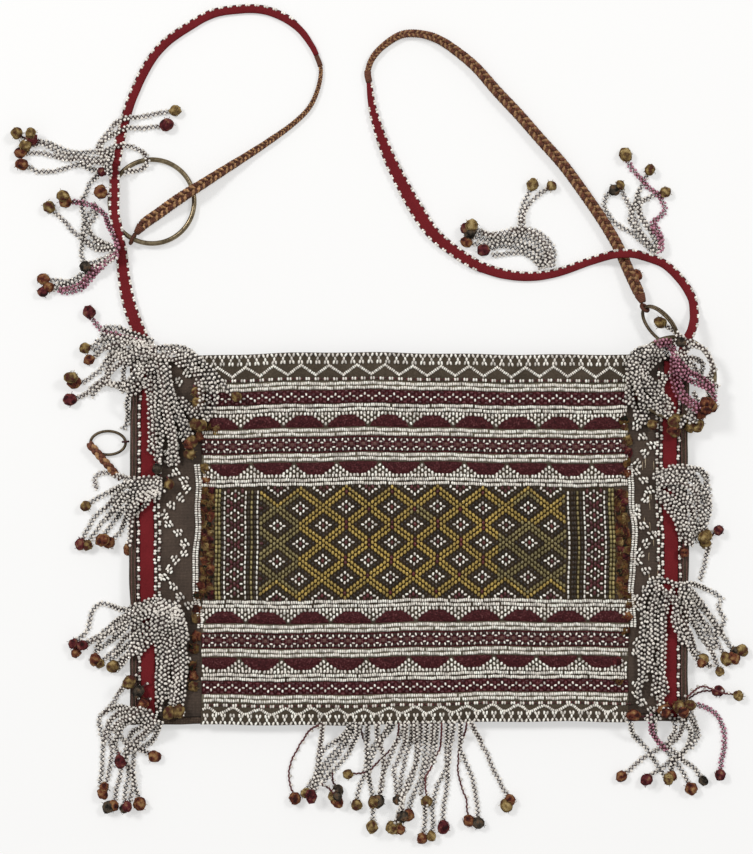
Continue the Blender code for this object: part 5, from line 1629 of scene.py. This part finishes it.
TASSELS["top_right"] = (170, 133), (
    ("w", 0, 0, -12, -6, -17, -16, -18, -26, -14, -36, -8, -44),
    ("w", -4, -4, -13, -14, -16, -24, -13, -34, -6, -42, 4, -48),
    ("wo", -10, -38, -3, -45, 5, -49, 8, -54),
    ("wor", 26, -24, 33, -32, 30, -40, 23, -46, 16, -51, 11, -57),
    ("w", 6, 0, 16, 2, 26, -2, 33, -9, 37, -18),
    ("w", 8, -4, -7, -2, -18, -7, -22, -17, -20, -28, -18, -41, -11, -55),
    ("wo", 6, -7, -5, -5, -15, -11, -18, -22, -14, -34, -11, -46, -7, -53),
    ("woo", 3, -9, -8, -12, -14, -21, -7, -33, 3, -41, 9, -49),
    ("w", 2, -7, -11, -8, -20, -15, -21, -25, -23, -34, -22, -41),
    ("w", -1, -11, -10, -20, -5, -30, 3, -36, 9, -44),
    ("w", -10, -5, -10, -15, -10, -27, -2, -38, -1, -47),
    ("w", -2, -4, -14, -4, -20, -10, -16, -18, -6, -24, 0, -32),
    ("w", 8, -19, 3, -25, 0, -33, 5, -39),
    ("w", 10, -9, 23, -2, 32, -7, 36, -17, 33, -26),
    ("w", 9, -7, 16, -15, 25, -22, 33, -25, 39, -30),
    ("wrr", 12, -17, 21, -14, 26, -20, 37, -32, 34, -39),
    ("woo", 18, -43, 21, -48, 25, -53),
    ("wo", 23, -33, 25, -39, 22, -45, 21, -54),
    ("w", 14, -10, 24, -10, 30, -14, 28, -22),
    ("pr", -2, -2, 6, -1, 8, -10, 8, -21, 11, -33, 18, -41, 24, -46),
    ("pr", -4, 0, 8, 1, 11, -10, 12, -21, 15, -32, 21, -40, 28, -44),
    ("p", 10, -10, 19, -20, 28, -24, 36, -30),
    ("pr", 10, -14, 18, -24, 26, -28, 35, -34, 36, -40),
    ("wo", 15.5, 2.5, 11, 6, 7, 9.5, 2.5, 12.8),
    ("wk", 18.5, -4.5, 14.2, -1))
TASSELS["right_strap"] = (98, 186), (
    ("w", 0, 0, 1, 9, -5, 20, -16, 25, -28, 25),
    ("w", -8, -1, -13, 5, -22, 9, -32, 9, -41, 8),
    ("wd", -7, -1, -10, 3, -17, 10, -28, 13, -38, 13, -44, 11),
    ("wr", -5, -1, -7, 5, -14, 13, -25, 17, -37, 16, -48, 15, -56, 16),
    ("wkd", -4, -1, -4, 7, -12, 16, -22, 20, -34, 19, -46, 18, -55, 20),
    ("wk", -3, 1, -6, 13, -13, 20, -26, 22, -40, 20, -53, 23),
    ("wo", -2, -1, -1, 8, -7, 18, -19, 24, -30, 23, -42, 22, -53, 26),
    ("w", -6, 1, -11, 10, -20, 14, -32, 16, -43, 14),
    ("wo", -22, 23, -22, 33, -19, 44, -15, 53),
    ("wo", -20, 25, -20, 34, -15, 44, -9, 50, -3, 53))
TASSELS["right_strap_upper"] = (166, 196), (
    ("wk", 0, 0, -13, 13, -25, 20, -32, 29, -32, 38, -29, 41),
    ("wo", 2, -1, -5, 9, -12, 21, -16, 33, -21, 43),
    ("w", 3, -1, -7, 11, -15, 20, -14, 29, -7, 36),
    ("wo", 4, 0, 0, 13, -9, 26, -11, 37, -7, 46, -3, 53),
    ("wo", 5, 0, 2, 11, -7, 20, -9, 32, -1, 38, 6, 40),
    ("p", 6, 0, 5, 11, 2, 18),
    ("po", 5, -1, 4, 9, 0, 18, 9, 27, 5, 38, -5, 47, -14, 56, -17, 63))


def pompon(work, centre, along, radius, finish_name):
    """A lumpy, mottled ball of wool with loose fibres."""
    rows, around = 10, 15
    points = []
    seed, stretch = work.dice.uniform(0, 50), work.dice.uniform(0.0, 0.22)
    for j in range(rows + 1):
        tilt = math.pi * (j + 0.5) / (rows + 1)
        for c, s in circle(around, 0.5 * (j % 2)):
            d = Vector((math.sin(tilt) * c, math.sin(tilt) * s, math.cos(tilt)))
            lump = 0.22 * noise.noise(d * 1.5 + Vector((seed, 0, 0)))
            lump += 0.1 * noise.noise(d * 4 + Vector((seed, 9, 0)))
            r = radius * (1 + lump + work.dice.uniform(-0.03, 0.03))
            points.append(centre + (Vector((d.x, d.y, d.z * 0.85)) + along * d.dot(along) * stretch) * r)
    # Wool that lies on the bag gets a darker middle tone than wool on the ground, as painted shade.
    work.shape(points, ring_faces(rows + 1, around, outward=False), finish_name,
               work.mottled(points, 0.0027, 0.5 if centre.z < 0.010 else 0.3))
    for _ in range(12):
        d = Vector((work.dice.gauss(0, 1), work.dice.gauss(0, 1), work.dice.gauss(0, 0.7))).normalized()
        bend = Vector((work.dice.gauss(0, 1), work.dice.gauss(0, 1), 0)).normalized() * radius * 0.35
        ends = [centre + d * radius * 0.85, centre + d * radius * 1.10, centre + d * radius * 1.08 + bend]
        tube(work, ends, 0.0002, 3, finish_name)


def strand(work, route, kind, sizes):
    """A two-sided zigzag of beads on a dark thread, or a bare thread with a bead now and then."""
    glass = "pink_glass" if kind == "p" else "white_glass"
    thread = "red_thread" if kind in "tp" else "black_thread"
    axes = frames(route)
    core = []
    wide = sizes.strand_width / 2
    for i, (point, (along, across, up)) in enumerate(zip(route, axes)):
        sign = 1 if i % 2 else -1
        if kind != "t" or i % 4 == 0:
            lean = 0.6 * sign + work.dice.gauss(0, 0.4)
            hole = along * math.cos(lean) + across * math.sin(lean)
            place = point + across * (sign * wide * 0.53 + work.dice.gauss(0, 0.0002))
            place += along * work.dice.gauss(0, 0.0002) + up * work.dice.uniform(-0.0002, 0.0003)
            size = sizes.strand_bead * work.dice.uniform(0.88, 1.08)
            work.bead(place, hole, size * 0.72, size, size * 0.86, glass, work.dice.uniform(0, 0.6), 6, up)
        core.append(point - across * sign * wide * (0.5 if kind != "t" else 0.12))
    tube(work, core, 0.00065 if kind != "t" else 0.0008, 4, thread)


# How far a strand feels for what is under it, its rise over that, its steepest slope and the most that it
# and its wool rise over the floor.
STRAND_REACH, STRAND_RISE, STRAND_SLOPE = 0.0011, 0.0012, 0.8
STRAND_HEAP, WOOL_HEAP = 0.0052, 0.006


def make_tassels(sizes):
    """Bead strands with wool pompons at their tips, laid one after another on what is under them."""
    floor = STATE["floor"]
    relief = Relief(floor)
    for number, (name, (root, strands)) in enumerate(TASSELS.items()):
        work = Work(200 + number)
        for (kind, *tip), *numbers in strands:
            route = spaced(route_from(root, zip(numbers[::2], numbers[1::2])), sizes.strand_step)
            seed = work.dice.uniform(0, 90)
            swayed = []
            for i, (p, (_, across, _)) in enumerate(zip(route, frames(route))):
                sway = noise.noise((i * 0.09, seed, 0.0)) + 0.5 * noise.noise((i * 0.3, seed, 4.0))
                swayed.append(p + across * 0.0014 * sway * min(i * 0.1, 1.0))
            route = draped(swayed, relief, STRAND_REACH, STRAND_RISE, STRAND_SLOPE, STRAND_HEAP, floor)
            route = spaced(route, sizes.strand_step)
            strand(work, route, kind, sizes)
            for p in route:
                relief.lay(p.x, p.y, 0.0012, p.z + 0.0007)
            ahead = (route[-1] - route[-3]).normalized()
            for k, letter in enumerate(tip):
                radius = sizes.pompon_radius * work.dice.uniform(0.82, 1.12)
                side = ahead.cross(UP) * (0.0, 0.9, -0.9)[k % 3] * radius
                place = route[-1] + ahead * radius * (0.75 + 0.35 * (k > 0)) + side
                spot = (place.x, place.y, 0.001)
                rest = min(relief.top(*spot), floor.top(*spot) + WOOL_HEAP)
                place.z = max(rest + radius * 0.86, radius * 0.95)
                pompon(work, place, ahead, radius, WOOLS[letter])
                relief.lay(place.x, place.y, radius * 0.7, place.z + radius * 0.6)
        work.make("strands_" + name, "tassel_beads", ["tassel_" + name])


# Stage

# The middle of the picture on the ground, the height of ground that it shows and the level where it does.
SHOWN_X, SHOWN_Y = -0.02205, 0.07635
SHOWN_HEIGHT, SHOWN_LEVEL = 0.5795, 0.010
LENS, FILM = 100.0, 36.0
# Each lamp's place to the side and its share of the power, and what both have in common.
LAMPS = {"left": (-2.0, 0.59), "right": (2.1, 0.42)}
LAMP_Y, LAMP_Z, LAMP_SIZE = 1.6, 2.8, 0.88
LAMP_AIM = Vector((-0.02, 0.06, 0.0))


def make_stage(light):
    """A pale floor, soft light from the upper left and right and a camera straight above."""
    mesh = bpy.data.meshes.new("floor")
    mesh.from_pydata([(-3, -3, 0), (3, -3, 0), (3, 3, 0), (-3, 3, 0)], [], [(0, 1, 2, 3)])
    floor = bpy.data.objects.new("floor", mesh)
    bpy.context.scene.collection.objects.link(floor)
    material = bpy.data.materials.new("pale_floor")
    material.use_nodes = True
    tree = material.node_tree
    tree.nodes.remove(tree.nodes["Principled BSDF"])
    paper = node(tree, "ShaderNodeBsdfDiffuse", {"Color": (*light.floor, 1.0)})
    glow = node(tree, "ShaderNodeEmission", {"Color": (*light.floor, 1.0), "Strength": 1.0})
    rays = tree.nodes.new("ShaderNodeLightPath")
    seen = sum_node(tree, "MAXIMUM", rays.outputs["Is Camera Ray"], rays.outputs["Is Glossy Ray"])
    seen = sum_node(tree, "MAXIMUM", seen, rays.outputs["Is Transmission Ray"])
    share = sum_node(tree, "MULTIPLY", seen, light.floor_glow)
    mixed = node(tree, "ShaderNodeMixShader", {0: share, 1: paper.outputs[0], 2: glow.outputs[0]})
    tree.links.new(mixed.outputs[0], tree.nodes["Material Output"].inputs["Surface"])
    mesh.materials.append(material)

    world = bpy.data.worlds.new("studio")
    world.use_nodes = True
    sky = world.node_tree.nodes["Background"]
    sky.inputs["Color"].default_value = (1.0, 1.0, 1.0, 1.0)
    sky.inputs["Strength"].default_value = light.room
    bpy.context.scene.world = world

    for side, (x, share) in LAMPS.items():
        lamp = bpy.data.lights.new("soft_lamp_" + side, "AREA")
        lamp.shape = "DISK"
        lamp.size = LAMP_SIZE
        lamp.energy = light.lamp * share
        shine = bpy.data.objects.new("soft_lamp_" + side, lamp)
        shine.location = (x, LAMP_Y, LAMP_Z)
        shine.rotation_euler = (LAMP_AIM - shine.location).to_track_quat("-Z", "Y").to_euler()
        bpy.context.scene.collection.objects.link(shine)

    camera = bpy.data.cameras.new("camera")
    camera.lens = LENS
    camera.sensor_fit = "VERTICAL"
    camera.sensor_height = FILM
    view = bpy.data.objects.new("camera", camera)
    view.location = (SHOWN_X, SHOWN_Y, SHOWN_LEVEL + SHOWN_HEIGHT * LENS / FILM)
    bpy.context.scene.collection.objects.link(view)
    bpy.context.scene.camera = view
    bpy.context.scene.view_settings.view_transform = "Standard"


# Panel, settings and operators

def colour_field(name, description, default):
    """A colour in the panel."""
    return FloatVectorProperty(name=name, description=description, default=default, subtype="COLOR", size=3,
                               min=0.0, max=1.0)


def length_field(name, description, default):
    """A length in the panel."""
    return FloatProperty(name=name, description=description, default=default, unit="LENGTH",
                         subtype="DISTANCE", min=0.0002, precision=5)


class BackpackSizes(bpy.types.PropertyGroup):
    """Sizes of the beads and strands."""
    row_pitch: length_field("Row pitch", "Distance between the beads of a white row", 0.0015)
    strand_step: length_field("Strand step", "Distance along a tassel strand from one bead to the next",
                              0.0016)
    strand_width: length_field("Strand width", "Width of a tassel strand", 0.0042)
    strand_bead: length_field("Strand bead", "Diameter of a tassel bead", 0.0023)
    pompon_radius: length_field("Pompon radius", "Radius of the wool ball at a strand's tip", 0.0038)


class BackpackColours(bpy.types.PropertyGroup):
    """Colours of glass, cloth, wool and yarn."""
    white_bead: colour_field("White beads", "Opaque white seed beads", (0.81, 0.775, 0.715))
    pink_bead: colour_field("Pink beads", "Pink tassel beads", (0.46, 0.185, 0.255))
    maroon_bead: colour_field("Maroon beads", "Dark red ground beads", (0.076, 0.010, 0.014))
    dark_bead: colour_field("Dark beads", "Nearly black beads of the lattice", (0.026, 0.015, 0.008))
    olive_bead: colour_field("Olive beads", "Dull olive beads", (0.25, 0.20, 0.075))
    yellow_bead: colour_field("Yellow beads", "Yellow beads of the lattice", (0.345, 0.235, 0.050))
    red_bead: colour_field("Red beads", "Red beads at the crossings", (0.085, 0.010, 0.010))
    brown_cloth: colour_field("Brown cloth", "Cloth of the pouch", (0.072, 0.052, 0.040))
    red_wool: colour_field("Red wool", "Felt of the straps and strips", (0.142, 0.0140, 0.0170))
    plait_tan: colour_field("Tan yarn", "Light yarn of the plaited cords", (0.28, 0.150, 0.068))
    plait_brown: colour_field("Brown yarn", "Dark yarn of the plaited cords", (0.105, 0.034, 0.017))


class BackpackLight(bpy.types.PropertyGroup):
    """Floor and light of the stage."""
    floor: colour_field("Floor", "Colour of the floor", (0.935, 0.93, 0.92))
    floor_glow: FloatProperty(
        name="Floor glow", description="Share of the floor that shows its plain colour to the camera",
        default=0.5, min=0.0, max=1.0, subtype="FACTOR")
    room: FloatProperty(
        name="Room light", description="Strength of the light from all around", default=0.5, min=0.0)
    lamp: FloatProperty(
        name="Lamp", description="Power of the two soft lamps", default=108.0, min=0.0, unit="POWER")


class BackpackSettings(bpy.types.PropertyGroup):
    """All settings of the beaded backpack."""
    sizes: PointerProperty(type=BackpackSizes)
    colours: PointerProperty(type=BackpackColours)
    light: PointerProperty(type=BackpackLight)


class BACKPACK_OT_finishes(bpy.types.Operator):
    """Make the materials and lay out what the strands will rest on"""
    bl_idname = "backpack.finishes"
    bl_label = "Finishes"

    def execute(self, context):
        make_finishes(context.scene.backpack.colours)
        lay_floor()
        return {"FINISHED"}


class BACKPACK_OT_pouch(bpy.types.Operator):
    """Make the cloth panels, bindings and hem of the pouch"""
    bl_idname = "backpack.pouch"
    bl_label = "Pouch"

    def execute(self, context):
        make_front()
        make_back()
        for side, sign in zip(SIDES, (-1, 1)):
            make_binding(side, sign)
        make_hem()
        return {"FINISHED"}


class BACKPACK_OT_bands(bpy.types.Operator):
    """Make the bands of beads from the mouth to the hem"""
    bl_idname = "backpack.bands"
    bl_label = "Bands of beads"

    def execute(self, context):
        sizes = context.scene.backpack.sizes
        make_white_rows(sizes)
        make_triangles(sizes)
        make_ring_bands()
        make_zigzag_bands()
        make_edge_bands()
        return {"FINISHED"}


class BACKPACK_OT_columns(bpy.types.Operator):
    """Make the upright columns and the diamond lattice between them"""
    bl_idname = "backpack.columns"
    bl_label = "Columns and lattice"

    def execute(self, context):
        make_flower_columns()
        make_centre()
        make_wool_patches()
        make_bead_lines()
        return {"FINISHED"}


class BACKPACK_OT_strips(bpy.types.Operator):
    """Make the red wool strips and the bead clusters along the sides"""
    bl_idname = "backpack.strips"
    bl_label = "Side strips"

    def execute(self, context):
        make_side_strips()
        make_clusters()
        return {"FINISHED"}


class BACKPACK_OT_loops(bpy.types.Operator):
    """Make the shoulder loops with their rings and links"""
    bl_idname = "backpack.loops"
    bl_label = "Shoulder loops"

    def execute(self, context):
        make_straps()
        cords = make_cords()
        held_by = make_brass()
        make_short_plait()
        return {"FINISHED"}


class BACKPACK_OT_tassels(bpy.types.Operator):
    """Make the bead tassels with their wool pompons"""
    bl_idname = "backpack.tassels"
    bl_label = "Tassels"

    def execute(self, context):
        make_tassels(context.scene.backpack.sizes)
        return {"FINISHED"}


class BACKPACK_OT_stage(bpy.types.Operator):
    """Make the floor, the light and the camera"""
    bl_idname = "backpack.stage"
    bl_label = "Stage"

    def execute(self, context):
        make_stage(context.scene.backpack.light)
        return {"FINISHED"}


class BACKPACK_PT_panel(bpy.types.Panel):
    """Settings and steps of the beaded backpack"""
    bl_idname = "BACKPACK_PT_panel"
    bl_label = "Beaded Backpack"
    bl_space_type = "VIEW_3D"
    bl_region_type = "UI"
    bl_category = "Backpack"

    def draw(self, context):
        settings = context.scene.backpack
        for group in (settings.sizes, settings.colours, settings.light):
            box = self.layout.box()
            for name in group.__annotations__:
                box.prop(group, name)
        for operator in OPERATORS:
            self.layout.operator(operator.bl_idname)


OPERATORS = (BACKPACK_OT_stage, BACKPACK_OT_finishes, BACKPACK_OT_pouch, BACKPACK_OT_bands,
             BACKPACK_OT_columns, BACKPACK_OT_strips, BACKPACK_OT_loops, BACKPACK_OT_tassels)
CLASSES = (BackpackSizes, BackpackColours, BackpackLight, BackpackSettings, *OPERATORS, BACKPACK_PT_panel)


def register():
    for item in CLASSES:
        bpy.utils.register_class(item)
    bpy.types.Scene.backpack = PointerProperty(type=BackpackSettings)


def unregister():
    del bpy.types.Scene.backpack
    for item in reversed(CLASSES):
        bpy.utils.unregister_class(item)


def main():
    register()
    bpy.ops.backpack.stage()
    bpy.ops.backpack.finishes()
    bpy.ops.backpack.pouch()
    bpy.ops.backpack.bands()
    bpy.ops.backpack.columns()
    bpy.ops.backpack.strips()
    bpy.ops.backpack.loops()
    bpy.ops.backpack.tassels()


if __name__ == "__main__":
    main()
